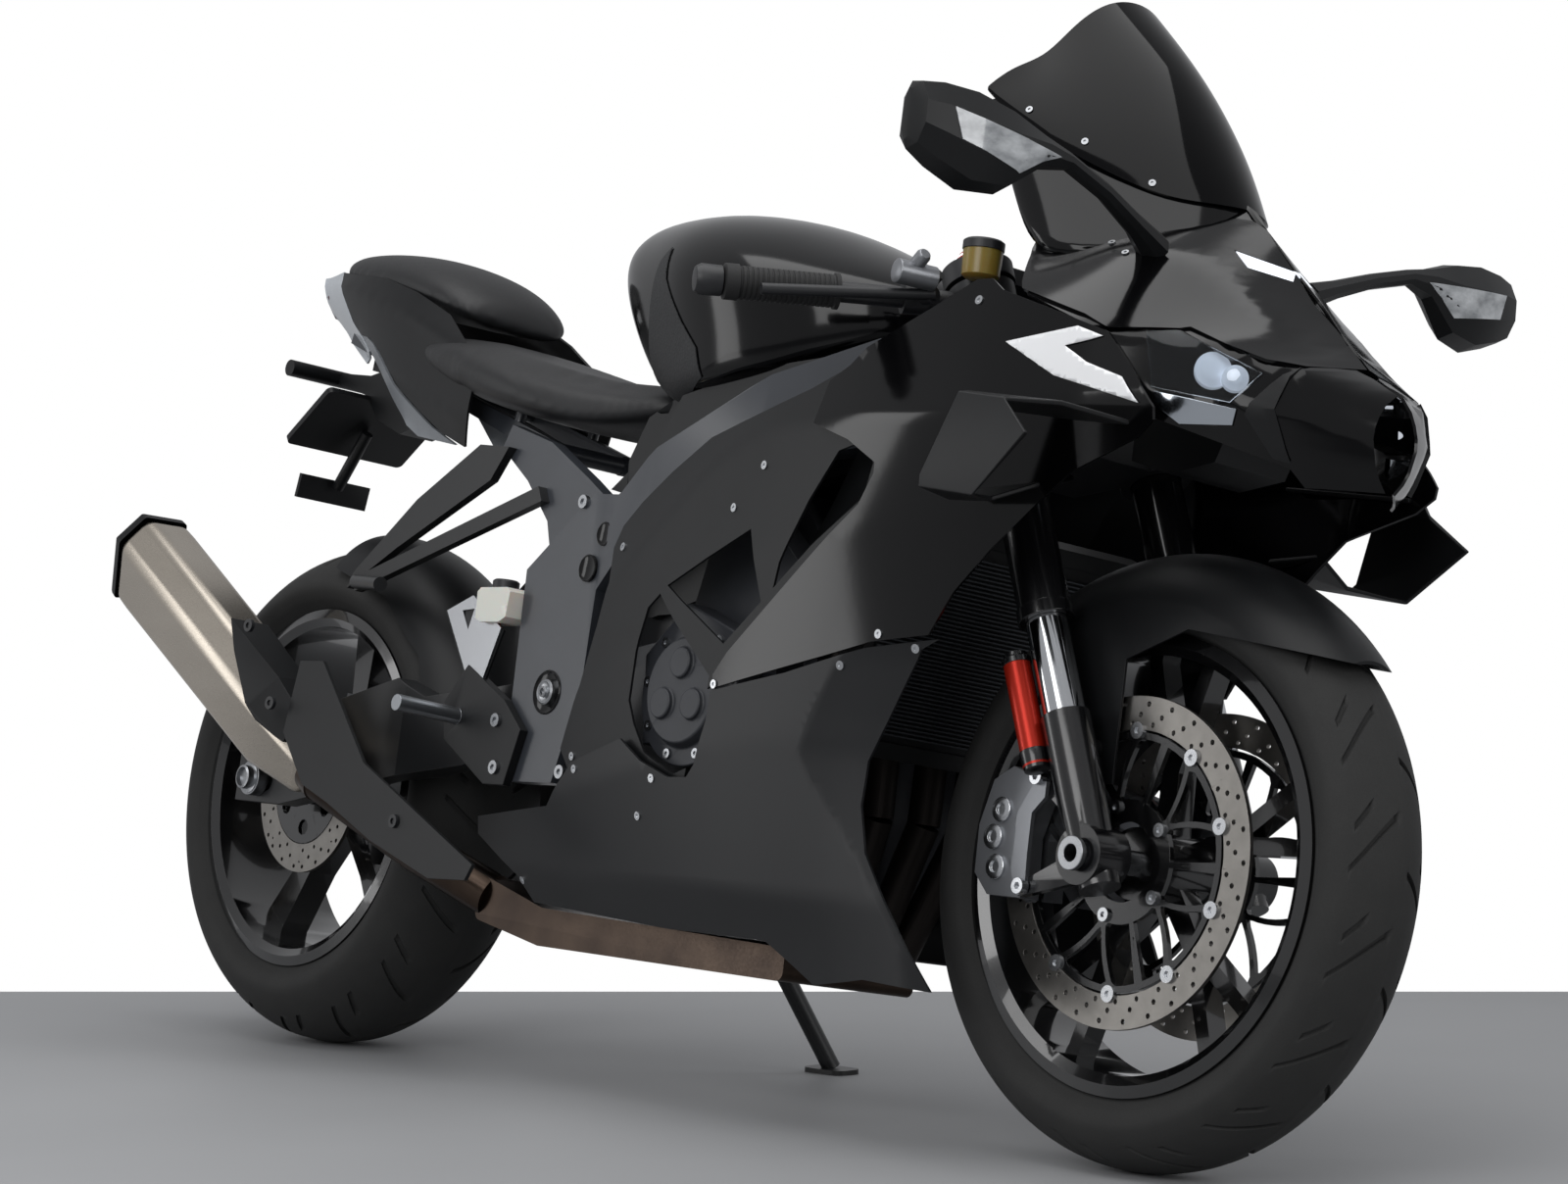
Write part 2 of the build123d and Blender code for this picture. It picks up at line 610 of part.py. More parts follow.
# ---------------------------------------------------------------- swingarm and rear end
arm_inner = 124
arm_outer = 152
arm_neck = 118               # swingarm half width between the frame plates
with BuildPart() as swingarm:
    with BuildSketch(side_plane(90)):
        Polygon((-52, 352), (-52, 292), (52, 290), (250, 325), (400, 354), (520, 400), (pivot_x, 412),
                (pivot_x + 30, 430), (pivot_x + 30, 456), (pivot_x, 474), (500, 458), (400, 446),
                (330, 433), (280, 454), (150, 424), (60, 372), align=None)
    extrude(amount=70)
    with BuildSketch(Plane.XY.offset(200)):
        Polygon((-60, -arm_outer), (300, -arm_outer), (430, -arm_neck), (620, -arm_neck), (620, -96),
                (330, -100), (280, -arm_inner), (-60, -arm_inner), align=None)
    extrude(amount=400, mode=Mode.INTERSECT)
    mirror(about=Plane.XZ)
    with BuildSketch(side_plane(-100)):
        Polygon((380, 362), (500, 402), (510, 448), (400, 436), (376, 400), align=None)
    extrude(amount=200)
    with BuildSketch(side_plane(-arm_outer - 1)):
        with Locations((0, rear_hub.Z)):
            SlotCenterToCenter(30, 2 * rear_axle_radius + 0.6)
        with Locations((pivot_x, pivot_z)):
            Circle(pivot_radius + seat_gap)
    extrude(amount=2 * arm_outer + 2, mode=Mode.SUBTRACT)

with BuildPart() as rear_axle:
    rod((0, -arm_outer - 12, rear_hub.Z), (0, arm_outer + 12, rear_hub.Z), rear_axle_radius)
    for side in (-1, 1):
        near, far = side * (arm_outer + seat_gap), side * (arm_outer + 16)
        rod((0, near, rear_hub.Z), (0, far, rear_hub.Z), 22)
    rod((0, -200, rear_hub.Z), (0, 200, rear_hub.Z), 9, mode=Mode.SUBTRACT)

with BuildPart() as rear_caliper:
    with BuildSketch(side_plane(rear_disc_offset - 22)):
        Polygon((84, 372), (150, 372), (160, 430), (90, 440), align=None)
    extrude(amount=44)
    with BuildSketch(side_plane(rear_disc_offset + 14)):
        Polygon((-18, 300), (20, 296), (150, 372), (120, 400), (-10, 345), align=None)
    extrude(amount=14)
    with Locations(Plane(origin=rear_hub - Vector(0, rear_disc_offset, 0), z_dir=SPIN).location):
        Cylinder(rear_disc_radius + 4, disc_thickness + 3, mode=Mode.SUBTRACT)
        Cylinder(rear_axle_radius + seat_gap, 300, mode=Mode.SUBTRACT)

hugger_gap = 16
hugger_half = 94
with BuildPart() as hugger:
    inner_r = rear_tyre_radius + hugger_gap
    with BuildSketch(wheel_plane(rear_hub)):
        for grow, mode in ((panel_wall, Mode.ADD), (0, Mode.SUBTRACT)):
            half = hugger_half + grow
            with BuildLine():
                arc = ThreePointArc((inner_r - 64 + grow, -half), (inner_r + grow, 0), (inner_r - 64 + grow, half))
                Line(arc @ 1, (0, half))
                Line((0, half), (0, -half))
                Line((0, -half), arc @ 0)
            make_face(mode=mode)
    revolve(axis=Axis(rear_hub, SPIN))
    with BuildSketch(side_plane(-200)):
        Polygon((20, 700), (20, 602), (140, 565), (230, 490), (270, 400), (420, 392), (450, 700), align=None)
    extrude(amount=400, mode=Mode.INTERSECT)
    for side in (-1, 1):
        rod((307, side * 60, 406), (375.5, side * 60, 406), 7)

# ---------------------------------------------------------------- tank, seats and tail
def rib(rows):
    """Full section from (height, half width) rows, low to high."""
    return [(w, z) for z, w in rows] + [(-w, z) for z, w in reversed(rows)]


tank_ribs = [
    # x, (height, half width) low to high
    (522, ((955, 30), (975, 52), (988, 46), (1000, 20))),
    (560, ((892, 60), (940, 92), (985, 84), (1020, 40))),
    (640, ((838, 100), (890, 140), (980, 128), (1032, 62))),
    (760, ((800, 150), (890, 188), (980, 170), (1028, 84))),
    (880, ((800, 158), (880, 186), (950, 160), (994, 80))),
    (1010, ((815, 96), (860, 112), (900, 100), (935, 60))),
]
with BuildPart() as fuel_tank:
    for x, rows in tank_ribs:
        with BuildSketch(Plane.YZ.offset(fore(x))):
            Polygon(*rib(rows), align=None)
    loft()
    for side in (-1, 1):
        rod((fore(830), side * 162, 738.9), (fore(830), side * 162, 850), 8)
        rod((fore(950), side * 168, 792.6), (fore(950), side * 120, 850), 8)

rider_ribs = [
    (180, ((862, 70), (892, 96), (912, 70))),
    (330, ((800, 120), (850, 150), (872, 110))),
    (500, ((768, 100), (806, 124), (826, 84))),
    (645, ((788, 50), (806, 62), (822, 40))),
]
with BuildPart() as rider_seat:
    for x, rows in rider_ribs:
        with BuildSketch(Plane.YZ.offset(x)):
            Polygon(*rib(rows), align=None)
    loft()

pillion_ribs = [
    (-120, ((992, 40), (1012, 70), (1034, 40))),
    (60, ((948, 84), (990, 112), (1024, 70))),
    (200, ((925, 80), (960, 106), (986, 66))),
    (262, ((902, 60), (922, 80), (942, 50))),
]
with BuildPart() as pillion_seat:
    for x, rows in pillion_ribs:
        with BuildSketch(Plane.YZ.offset(x)):
            Polygon(*rib(rows), align=None)
    loft()

tail_ribs = [
    (-150, ((950, 40), (985, 62), (994, 40))),
    (-30, ((890, 60), (960, 100), (975, 70))),
    (90, ((800, 70), (900, 118), (935, 80))),
    (240, ((760, 80), (850, 110), (880, 70))),
]
with BuildPart() as tail_cowl:
    for inset, mode in ((0, Mode.ADD), (panel_wall, Mode.SUBTRACT)):
        with BuildPart(mode=Mode.PRIVATE) as hull:
            for x, rows in tail_ribs:
                inner = [(rows[0][0] - 3 * inset, rows[0][1]), *rows[1:-1], (rows[-1][0] - inset, rows[-1][1])]
                with BuildSketch(Plane.YZ.offset(x)):
                    Polygon(*rib([(z, w - inset) for z, w in inner]), align=None)
            loft(ruled=True)
        add(hull.part, mode=mode)
    add(pillion_seat.part, mode=Mode.SUBTRACT)
    add(rider_seat.part, mode=Mode.SUBTRACT)

with BuildPart() as tail_light:
    for x, rows in ((-230, ((985, 20), (1008, 40), (1022, 26))), (-150.3, ((950, 40), (985, 62), (994, 40)))):
        with BuildSketch(Plane.YZ.offset(x)):
            Polygon(*rib(rows), align=None)
    loft(ruled=True)

with BuildPart() as subframe:
    with BuildSketch(side_plane(96)):
        Polygon((508, 600), (600, 620), (612, 668), (560, 700), (480, 745), (395, 770), (380, 742),
                (440, 700), (490, 650), align=None)
    extrude(amount=18)
    with BuildSketch(side_plane(50)):
        Polygon((395, 740), (405, 762), (180, 838), (-60, 926), (-66, 908), (170, 820), align=None)
    extrude(amount=14)
    rod((400, -50, 750), (404, -110, 752), 12)
    rod((323, -57, 776), (329.9, -57, 799.7), 7)
    mirror(about=Plane.XZ)
    for x, z, half, radius in ((200, 822, 55, 9), (400, 750, 100, 11), (590, 630, 122 - seat_gap, 12)):
        rod((x, -half, z), (x, half, z), radius)

plate_normal = Vector(-0.59, 0, 0.81)
with BuildPart() as plate_holder:
    with BuildSketch(side_plane(26)):
        Polygon((-20, 880), (60, 800), (20, 790), (-40, 812), (-68, 845), (-150, 866), (-150, 880),
                (-66, 872), align=None)
    extrude(amount=-52)
    with BuildSketch(side_plane(50 - seat_gap)):
        Polygon((-24, 905), (24, 890), (20, 862), (-28, 872), align=None)
    extrude(amount=-2 * (50 - seat_gap))
    rod((-150, -100, 872), (-150, 100, 872), 11)
    with BuildSketch(Plane(origin=(-104, 0, 808), x_dir=(0, 1, 0), z_dir=plate_normal)):
        RectangleRounded(184, 112, 8)
    extrude(amount=4, both=True)
    rod((-96, 0, 800), (-150, 0, 728), 8)
    with BuildSketch(Plane(origin=(-158, 0, 722), x_dir=(0, 1, 0), z_dir=(-1, 0, 0.2))):
        Rectangle(110, 32)
    extrude(amount=6)

# ---------------------------------------------------------------- bodywork
def half_hull(ribs, inset):
    """Right half of a body: stations from (height, half width) rows, pulled in by inset."""
    with BuildPart() as half:
        for x, rows in ribs:
            with BuildSketch(Plane.YZ.offset(fore(x))):
                Polygon((0, rows[0][0]), *[(-max(w - inset, 1), z) for z, w in rows], (0, rows[-1][0]), align=None)
        loft(ruled=True)
    return half.part


flank_ribs = [
    # x, then keel, crease, chine, belt, shoulder, crown as (height, half width)
    (440, ((180, 92), (250, 120), (300, 138), (330, 146), (360, 146), (400, 136))),
    (700, ((160, 112), (235, 165), (330, 195), (430, 206), (520, 206), (600, 198))),
    (950, ((140, 128), (230, 187), (380, 214), (560, 228), (700, 226), (800, 205))),
    (1150, ((130, 152), (230, 190), (400, 216), (600, 238), (720, 240), (880, 212))),
    (1310, ((130, 178), (250, 196), (420, 210), (600, 226), (720, 238), (880, 208))),
    (1460, ((300, 150), (400, 160), (500, 170), (600, 190), (735, 214), (840, 196))),
]
inner_set = 7                # inner side panels behind the cowl's skin
inner_wall = 3


def flank_width(x, z):
    """Half width of the side hull at a place in side view."""
    back, front = [pair for pair in zip(flank_ribs, flank_ribs[1:]) if pair[0][0] <= x <= pair[1][0]][0]
    widths = []
    for _, rows in (back, front):
        low, high = [pair for pair in zip(rows, rows[1:]) if pair[0][0] <= z <= pair[1][0]][0]
        widths.append(low[1] + (high[1] - low[1]) * (z - low[0]) / (high[0] - low[0]))
    return widths[0] + (widths[1] - widths[0]) * (x - back[0]) / (front[0] - back[0])


def hull_shell(inset, wall):
    """Skin of the right side hull, its outer face pulled in by inset."""
    return half_hull(flank_ribs, inset) - half_hull(flank_ribs, inset + wall)


cowl_shell = hull_shell(0, panel_wall)
inner_shell = hull_shell(inner_set, inner_wall)


def flank_panel(points, side, shell, windows=()):
    """Moulded panel: the hull's skin inside a side outline, less its windows."""
    with BuildPart() as panel:
        with BuildSketch(side_plane(30)):
            Polygon(*spread(points), align=None)
            for window in windows:
                Polygon(*spread(window), align=None, mode=Mode.SUBTRACT)
        extrude(amount=300)
        add(shell, mode=Mode.INTERSECT)
    return panel.part if side < 0 else panel.part.mirror(Plane.XZ)


cowl_outline = [
    (858, 553), (930, 640), (1040, 742), (1105, 725), (1153, 773), (1189, 806), (1310, 858), (1348, 845),
    (1451, 812), (1440, 700), (1414, 600), (1372, 563), (1318, 520), (1304, 499), (1234, 491), (1120, 468),
    (964, 438), (964, 461), (1034, 519), (1121, 575), (1189, 630), (1208, 664), (1021, 603),
]
belly_outline = [
    (1304, 498.7), (1234, 490.7), (1120, 467.7), (962, 437.3), (935, 366), (916, 350), (871, 355), (789, 387),
    (688, 361), (626, 310), (477, 298), (473, 275), (548, 230), (582, 206), (855, 186), (1040, 184),
    (1112, 144), (1210, 155), (1314, 150), (1259, 225), (1218, 281), (1204, 329), (1206, 374), (1252, 448),
]
belly_outline_left = [point for point in belly_outline if point[0] >= 688]
inner_outline = [
    (735, 570), (800, 610), (895, 680), (1069, 745), (1200, 790), (1210, 690), (1180, 620), (1100, 565),
    (1033, 519), (985, 470), (946, 440), (911, 340), (829, 355), (789, 380), (690, 352), (672, 373), (729, 510),
]
mount_window = [(1004, 612), (1033, 534), (972, 490), (862, 554), (930, 583)]
cover_window = [(850, 545), (816, 482), (808, 428), (842, 372), (894, 350), (920, 358), (951, 456), (889, 509)]
cowl_posts = [(1090, 690), (1150, 640), (1050, 570)]
with BuildPart() as side_cowls:
    for side in (-1, 1):
        add(flank_panel(cowl_outline, side, cowl_shell))
        add(flank_panel(inner_outline, side, inner_shell, (mount_window, cover_window)))
        for x, z in cowl_posts:
            skin = flank_width(x, z)
            rod((fore(x), side * (skin - inner_set - inner_wall), z), (fore(x), side * (skin - 2), z), 7)
with BuildPart() as belly_fairings:
    add(flank_panel(belly_outline, -1, cowl_shell))
    add(flank_panel(belly_outline_left, 1, cowl_shell))

nose_ribs = [
    # x, then sill, chine, belt, shoulder, brow, crown as (height, half width)
    (1310, ((600, 200), (660, 226), (735, 238), (858, 214), (905, 150), (960, 120))),
    (1451, ((600, 150), (660, 195), (735, 214), (812, 204), (905, 110), (974, 14))),
    (1550, ((640, 110), (690, 145), (740, 166), (800, 150), (850, 80), (884, 10))),
    (1640, ((655, 50), (690, 84), (735, 104), (776, 90), (788, 45), (795, 8))),
    (1686, ((668, 6), (690, 26), (725, 36), (750, 26), (765, 12), (770, 4))),
]
with BuildPart() as nose_cowl:
    with BuildSketch(side_plane(0)):
        Polygon(*spread([
            (1310, 858.4), (1348, 845.4), (1451, 812.4), (1518, 803), (1460, 730), (1470, 640), (1700, 640),
            (1700, 800), (1460, 980), (1400, 960), (1330, 900)]), align=None)
    extrude(amount=300)
    add(half_hull(nose_ribs, 0), mode=Mode.INTERSECT)
    add(half_hull(nose_ribs, panel_wall), mode=Mode.SUBTRACT)
    mirror(about=Plane.XZ)
    for start, amount in ((40, 200), (-40, -200)):
        with BuildSketch(side_plane(start)):
            Polygon(*spread([(1517, 797), (1545, 801), (1613, 770), (1597, 742), (1574, 742), (1530, 752)]),
                    align=None)
        extrude(amount=amount, mode=Mode.SUBTRACT)

with BuildPart() as headlights:
    with BuildSketch(side_plane(40.3)):
        Polygon(*spread([(1518, 796), (1545, 800), (1612, 769.6), (1596.7, 742.3), (1574, 742.3), (1531, 752)]),
                align=None)
    extrude(amount=200)
    add(half_hull(nose_ribs, 1), mode=Mode.INTERSECT)
    mirror(about=Plane.XZ)

screen_ribs = [
    # crown x, crown z, half width, drop of the edges behind the crown
    (1464, 972, 60, 6),
    (1415, 1052, 132, 70),
    (1352, 1140, 128, 74),
    (1276, 1213, 52, 22),
]


def screen_body(grow):
    """Space behind the windscreen, pulled in by grow."""
    with BuildPart() as body:
        for x, z, half, drop in screen_ribs:
            with BuildSketch(Plane(origin=(fore(x), 0, z), x_dir=(0, 1, 0), z_dir=(-0.62, 0, 0.78))):
                with BuildLine():
                    arc = ThreePointArc((-half + grow, drop), (0, grow), (half - grow, drop))
                    Line(arc @ 1, (half - grow, drop + 90))
                    Line((half - grow, drop + 90), (-half + grow, drop + 90))
                    Line((-half + grow, drop + 90), arc @ 0)
                make_face()
        loft(ruled=True)
    return body.part


with BuildPart() as windscreen:
    add(screen_body(0))
    add(screen_body(panel_wall), mode=Mode.SUBTRACT)
    nose_block = half_hull(nose_ribs, -seat_gap)
    add(nose_block, mode=Mode.SUBTRACT)
    add(nose_block.mirror(Plane.XZ), mode=Mode.SUBTRACT)

panel_face = Vector(fore(1310), 0, 955)
panel_depth = 30
panel_back = panel_face + Vector(0.8, 0, -0.6) * (panel_depth + seat_gap)
with BuildPart() as fairing_stay:
    with BuildSketch(side_plane(26)):
        Polygon(*spread([
            (1206, 800), (1216, 775), (1330, 800), (1400, 850), (1440, 900), (1425, 906), (1380, 868),
            (1320, 826)]), align=None)
    extrude(amount=-52)
    for x, z, half in ((1352, 815, 202), (1400, 868, 150)):
        rod((fore(x), -half, z), (fore(x), half, z), 9)
    rod(panel_back, panel_back + Vector(0.8, 0, -0.6) * 105, 9)
    with BuildSketch(fork_plane(head_low - 40, back=fork_offset)):
        Circle(head_radius + seat_gap)
    extrude(amount=300, mode=Mode.SUBTRACT)

with BuildPart() as instrument_panel:
    with BuildSketch(Plane(origin=panel_face, x_dir=(0, 1, 0), z_dir=(-0.8, 0, 0.6))):
        RectangleRounded(160, 100, 12)
    extrude(amount=-panel_depth)

with BuildPart() as winglets:
    with BuildSketch(Plane.YZ.offset(fore(1440))):
        Polygon((-196, 723), (-324, 700), (-318, 640), (-262, 632), (-190, 650), align=None)
        Polygon((-190, 718), (-318, 695), (-312, 645), (-262, 637), (-190, 656), align=None, mode=Mode.SUBTRACT)
    extrude(amount=90, both=True)
    with BuildSketch(side_plane(100)):
        Polygon(*spread([(1340, 723), (1530, 700), (1470, 625), (1354, 634)]), align=None)
    extrude(amount=300, mode=Mode.INTERSECT)
    add(half_hull(nose_ribs, -0.3), mode=Mode.SUBTRACT)
    add(half_hull(flank_ribs, -0.3), mode=Mode.SUBTRACT)
    mirror(about=Plane.XZ)

mirror_height = 985
with BuildPart() as mirrors:
    for x, y, z, size in ((1452, 248, 962, 18), (1442, 330, mirror_height, 44), (1434, 448, mirror_height, 20)):
        with BuildSketch(Plane.XZ.offset(y)):
            with Locations((fore(x), z)):
                Rectangle(size * 1.7, size * 1.5)
    loft(ruled=True)
    rod((fore(1450), -104, 905), (fore(1455), -258, 962), 9)
    add(half_hull(nose_ribs, -0.3), mode=Mode.SUBTRACT)
    mirror(about=Plane.XZ)

# ---------------------------------------------------------------- controls
with BuildPart() as foot_pegs:
    with BuildSketch(side_plane(pivot_half + seat_gap)):
        Polygon((560, 395), (540, 330), (500, 330), (410, 380), (400, 425), (440, 470), (520, 430), align=None)
    extrude(amount=12)
    rod((430, -pivot_half - 6, 408), (430, -pivot_half - 100, 412), 10)
    with BuildSketch(side_plane(pivot_half + seat_gap + 4)):
        Polygon((373, 535), (427, 553), (496, 512), (466, 440), (440, 430), (420, 470), align=None)
    extrude(amount=4)
    mirror(about=Plane.XZ)

with BuildPart() as pillion_pegs:
    with BuildSketch(side_plane(114 + seat_gap)):
        Polygon((410, 740), (380, 700), (200, 620), (100, 570), (110, 590), (230, 680), (350, 745), align=None)
        Polygon((490, 672), (118, 566), (110, 582), (480, 690), align=None)
    extrude(amount=12)
    rod((116, -124, 578), (210, -150, 570), 9)
    mirror(about=Plane.XZ)

# ---------------------------------------------------------------- side stand
with BuildPart() as side_stand:
    rod(stand_pivot, stand_foot, 11)
    rod(stand_pivot - stand_hinge * 12, stand_pivot + stand_hinge * 12, 18)
    with BuildSketch(Plane(origin=stand_foot, x_dir=(1, 0, 0), z_dir=(0, -sin(radians(lean)), cos(radians(lean))))):
        RectangleRounded(70, 40, 14)
    extrude(amount=-foot_thickness)
    rod(stand_pivot - stand_hinge * 13, stand_pivot + stand_hinge * 13, 6.05, mode=Mode.SUBTRACT)
    split(bisect_by=Plane(origin=stand_foot - Vector(0, -sin(radians(lean)), cos(radians(lean))) * foot_thickness,
                          z_dir=(0, -sin(radians(lean)), cos(radians(lean)))))

# ---------------------------------------------------------------- parked on the stand
pieces = {
    "front_tyre": front_tyre, "front_rim": front_rim, "front_discs": front_discs,
    "rear_tyre": rear_tyre, "rear_rim": rear_rim, "rear_disc": rear_disc, "rear_sprocket": rear_sprocket,
    "chain": chain, "fork_tubes": fork_tubes, "fork_sliders": fork_sliders, "fork_bottoms": fork_bottoms,
    "fork_reservoirs": fork_reservoirs, "triple_clamp": triple_clamp, "handlebars": handlebars,
    "grips": grips, "front_axle": front_axle, "front_calipers": front_calipers,
    "front_fender": front_fender, "main_frame": main_frame, "engine_block": engine_block,
    "engine_covers": engine_covers, "radiator": radiator, "exhaust_pipes": exhaust_pipes,
    "silencer": silencer, "silencer_guard": silencer_guard, "swingarm": swingarm,
    "rear_axle": rear_axle, "rear_caliper": rear_caliper, "hugger": hugger, "fuel_tank": fuel_tank,
    "rider_seat": rider_seat, "pillion_seat": pillion_seat, "tail_cowl": tail_cowl,
    "tail_light": tail_light, "subframe": subframe, "plate_holder": plate_holder,
    "side_cowls": side_cowls, "belly_fairings": belly_fairings, "fairing_stay": fairing_stay,
    "nose_cowl": nose_cowl, "headlights": headlights, "windscreen": windscreen,
    "instrument_panel": instrument_panel, "winglets": winglets, "mirrors": mirrors,
    "foot_pegs": foot_pegs, "pillion_pegs": pillion_pegs, "side_stand": side_stand,
}
pitch = degrees(asin((rear_sink - front_crown_radius * (1 - cos(radians(lean)))) / wheelbase))
middle_x = (wheelbase + front_tyre_radius - rear_tyre_radius) / 2
middle_y = mirror_height * sin(radians(lean))
parked = Location((-middle_x, -middle_y, rear_sink), (-lean, pitch, 0))
os.makedirs("parts", exist_ok=True)
for name, piece in pieces.items():
    piece.part.label = name
    export_step(piece.part.moved(parked), f"parts/{name}.step")
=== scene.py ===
import json
import math

import bmesh
import bpy
from mathutils import Matrix, Vector
from mathutils.bvhtree import BVHTree
from mathutils.geometry import delaunay_2d_cdt

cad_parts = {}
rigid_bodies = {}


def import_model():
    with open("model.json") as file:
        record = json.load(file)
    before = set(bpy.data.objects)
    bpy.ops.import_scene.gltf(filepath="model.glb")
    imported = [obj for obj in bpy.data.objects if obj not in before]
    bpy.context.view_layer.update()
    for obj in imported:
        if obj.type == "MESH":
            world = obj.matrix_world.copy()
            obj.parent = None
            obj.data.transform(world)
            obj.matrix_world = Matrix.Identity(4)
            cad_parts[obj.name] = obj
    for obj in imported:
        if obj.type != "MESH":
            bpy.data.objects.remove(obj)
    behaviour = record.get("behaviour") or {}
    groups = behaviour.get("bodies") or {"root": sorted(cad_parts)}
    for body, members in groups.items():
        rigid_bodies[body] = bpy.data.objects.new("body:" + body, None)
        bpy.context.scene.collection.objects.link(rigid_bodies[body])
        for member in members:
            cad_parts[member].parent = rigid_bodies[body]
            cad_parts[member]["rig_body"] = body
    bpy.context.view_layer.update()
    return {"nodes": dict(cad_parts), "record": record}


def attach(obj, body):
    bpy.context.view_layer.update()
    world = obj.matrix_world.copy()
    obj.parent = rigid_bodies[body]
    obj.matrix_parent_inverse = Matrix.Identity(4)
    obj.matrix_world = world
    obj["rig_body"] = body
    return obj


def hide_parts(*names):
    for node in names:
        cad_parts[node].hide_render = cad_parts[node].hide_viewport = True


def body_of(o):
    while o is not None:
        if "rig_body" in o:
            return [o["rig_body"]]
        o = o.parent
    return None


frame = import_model()
record = frame["record"]
nodes = frame["nodes"]

MM = 0.001
WHEELBASE = 1450
LEAN = math.radians(9.24)
REAR_RADIUS, FRONT_RADIUS = 320, 300
REAR_CROWN, FRONT_CROWN = 98, 62
MIRROR_HEIGHT = 985     # of the mirror tips, which the parked machine is centred by
REAR_SINK = REAR_CROWN * (1 - math.cos(LEAN))
FRONT_SINK = FRONT_CROWN * (1 - math.cos(LEAN))
PITCH = math.asin((REAR_SINK - FRONT_SINK) / WHEELBASE)
SHIFT = Vector(((REAR_RADIUS - FRONT_RADIUS - WHEELBASE) / 2, -MIRROR_HEIGHT * math.sin(LEAN), REAR_SINK))
PARKED = (Matrix.Scale(MM, 4) @ Matrix.Translation(SHIFT)
          @ Matrix.Rotation(-LEAN, 4, "X") @ Matrix.Rotation(PITCH, 4, "Y"))
UPRIGHT = PARKED.inverted()
REAR_HUB = Vector((0, 0, REAR_RADIUS))
FRONT_HUB = Vector((WHEELBASE, 0, FRONT_RADIUS))
UP, OUTWARD = Vector((0, 0, 1)), Vector((0, 1, 0))
RAKE = math.radians(24)
UP_FORK = Vector((-math.sin(RAKE), 0, math.cos(RAKE)))
AHEAD = Vector((math.cos(RAKE), 0, math.sin(RAKE)))

# %% [markdown]
# Meshes are easiest to keep tidy when one function makes them all: it takes points in millimetres,
# parks them, shades them smooth, and hangs the piece on its body.
# %% Mesh helpers
finishes = {}
SHARP = 35          # degrees between two faces, past which their edge stays sharp
BEVEL_ABOVE = 40    # degrees between two faces, past which their edge is rounded
MERGE = 0.00002     # metres between corners that are one and the same


def placed(name, data):
    """A new object in the scene, at its origin."""
    thing = bpy.data.objects.new(name, data)
    bpy.context.scene.collection.objects.link(thing)
    return thing


def dress(piece, finish, body, slot, replaces=(), sharp=SHARP):
    """Shades a piece smooth between its sharp edges, gives it its finish and hangs it on its body."""
    for face in piece.data.polygons:
        face.use_smooth = True
    piece.data.set_sharp_from_angle(angle=math.radians(sharp))
    piece.data.materials.clear()
    piece.data.materials.append(finishes[finish])
    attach(piece, body)
    if replaces:
        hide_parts(*replaces)
    print(piece.name, len(piece.data.polygons), "faces on", body)


def new_piece(name, points, faces, finish, body="chassis", slot=None, replaces=(), sharp=SHARP,
              parked=True):
    """A mesh piece from upright millimetre points. Its slot is not used."""
    mesh = bpy.data.meshes.new(name)
    spots = [PARKED @ Vector(p) if parked else Vector(p) for p in points]
    mesh.from_pydata([tuple(p) for p in spots], [], faces)
    mesh.validate()
    mesh.update()
    piece = placed(name, mesh)
    dress(piece, finish, body, slot or finish, replaces, sharp)
    return piece


def tidy_normals(piece, merge=MERGE):
    """Merges doubles and turns every face outwards."""
    work = bmesh.new()
    work.from_mesh(piece.data)
    bmesh.ops.remove_doubles(work, verts=work.verts, dist=merge)
    bmesh.ops.recalc_face_normals(work, faces=work.faces)
    work.to_mesh(piece.data)
    work.free()


def finish_edges(piece, wall=0, bevel=0.8, subdivide=0, outward=-1, segments=2):
    """Subdivision, wall thickness and rounded edges, in millimetres, as live modifiers."""
    if subdivide:
        step = piece.modifiers.new("smooth form", "SUBSURF")
        step.levels = step.render_levels = subdivide
    if wall:
        step = piece.modifiers.new("wall", "SOLIDIFY")
        step.thickness = wall * MM
        step.offset = outward
    if bevel:
        step = piece.modifiers.new("rounded edges", "BEVEL")
        step.width = bevel * MM
        step.segments = segments
        step.limit_method = "ANGLE"
        step.angle_limit = math.radians(BEVEL_ABOVE)
        step.harden_normals = True


print("edges over", SHARP, "degrees stay sharp, and over", BEVEL_ABOVE, "degrees they are rounded")

# %% [markdown]
# A material is a small network of nodes. One function adds a node, sets its values and wires its inputs,
# so each finish below reads as a short recipe. Colours are written as sRGB hex and turned to linear.
# The real textures of moulded, cast and brushed surfaces are finer than 0.5 mm and wouldn't show from
# here, so their grain is drawn at 0.6 to 2.5 mm, which is as coarse as it needs to be.
# %% Material helpers


def linear(code):
    """The linear colour of an sRGB hex value such as #101112."""
    parts = [int(code[k:k + 2], 16) / 255 for k in (1, 3, 5)]
    return [c / 12.92 if c <= 0.04045 else ((c + 0.055) / 1.055) ** 2.4 for c in parts] + [1]


def add(tree, kind, settings=None, links=None):
    """Adds a node. Settings are values by input name or property, links are sockets by input name."""
    node = tree.nodes.new(kind)
    for key, value in (settings or {}).items():
        if isinstance(key, int) or key in node.inputs:
            node.inputs[key].default_value = value
        else:
            setattr(node, key, value)
    for key, socket in (links or {}).items():
        tree.links.new(socket, node.inputs[key])
    return node


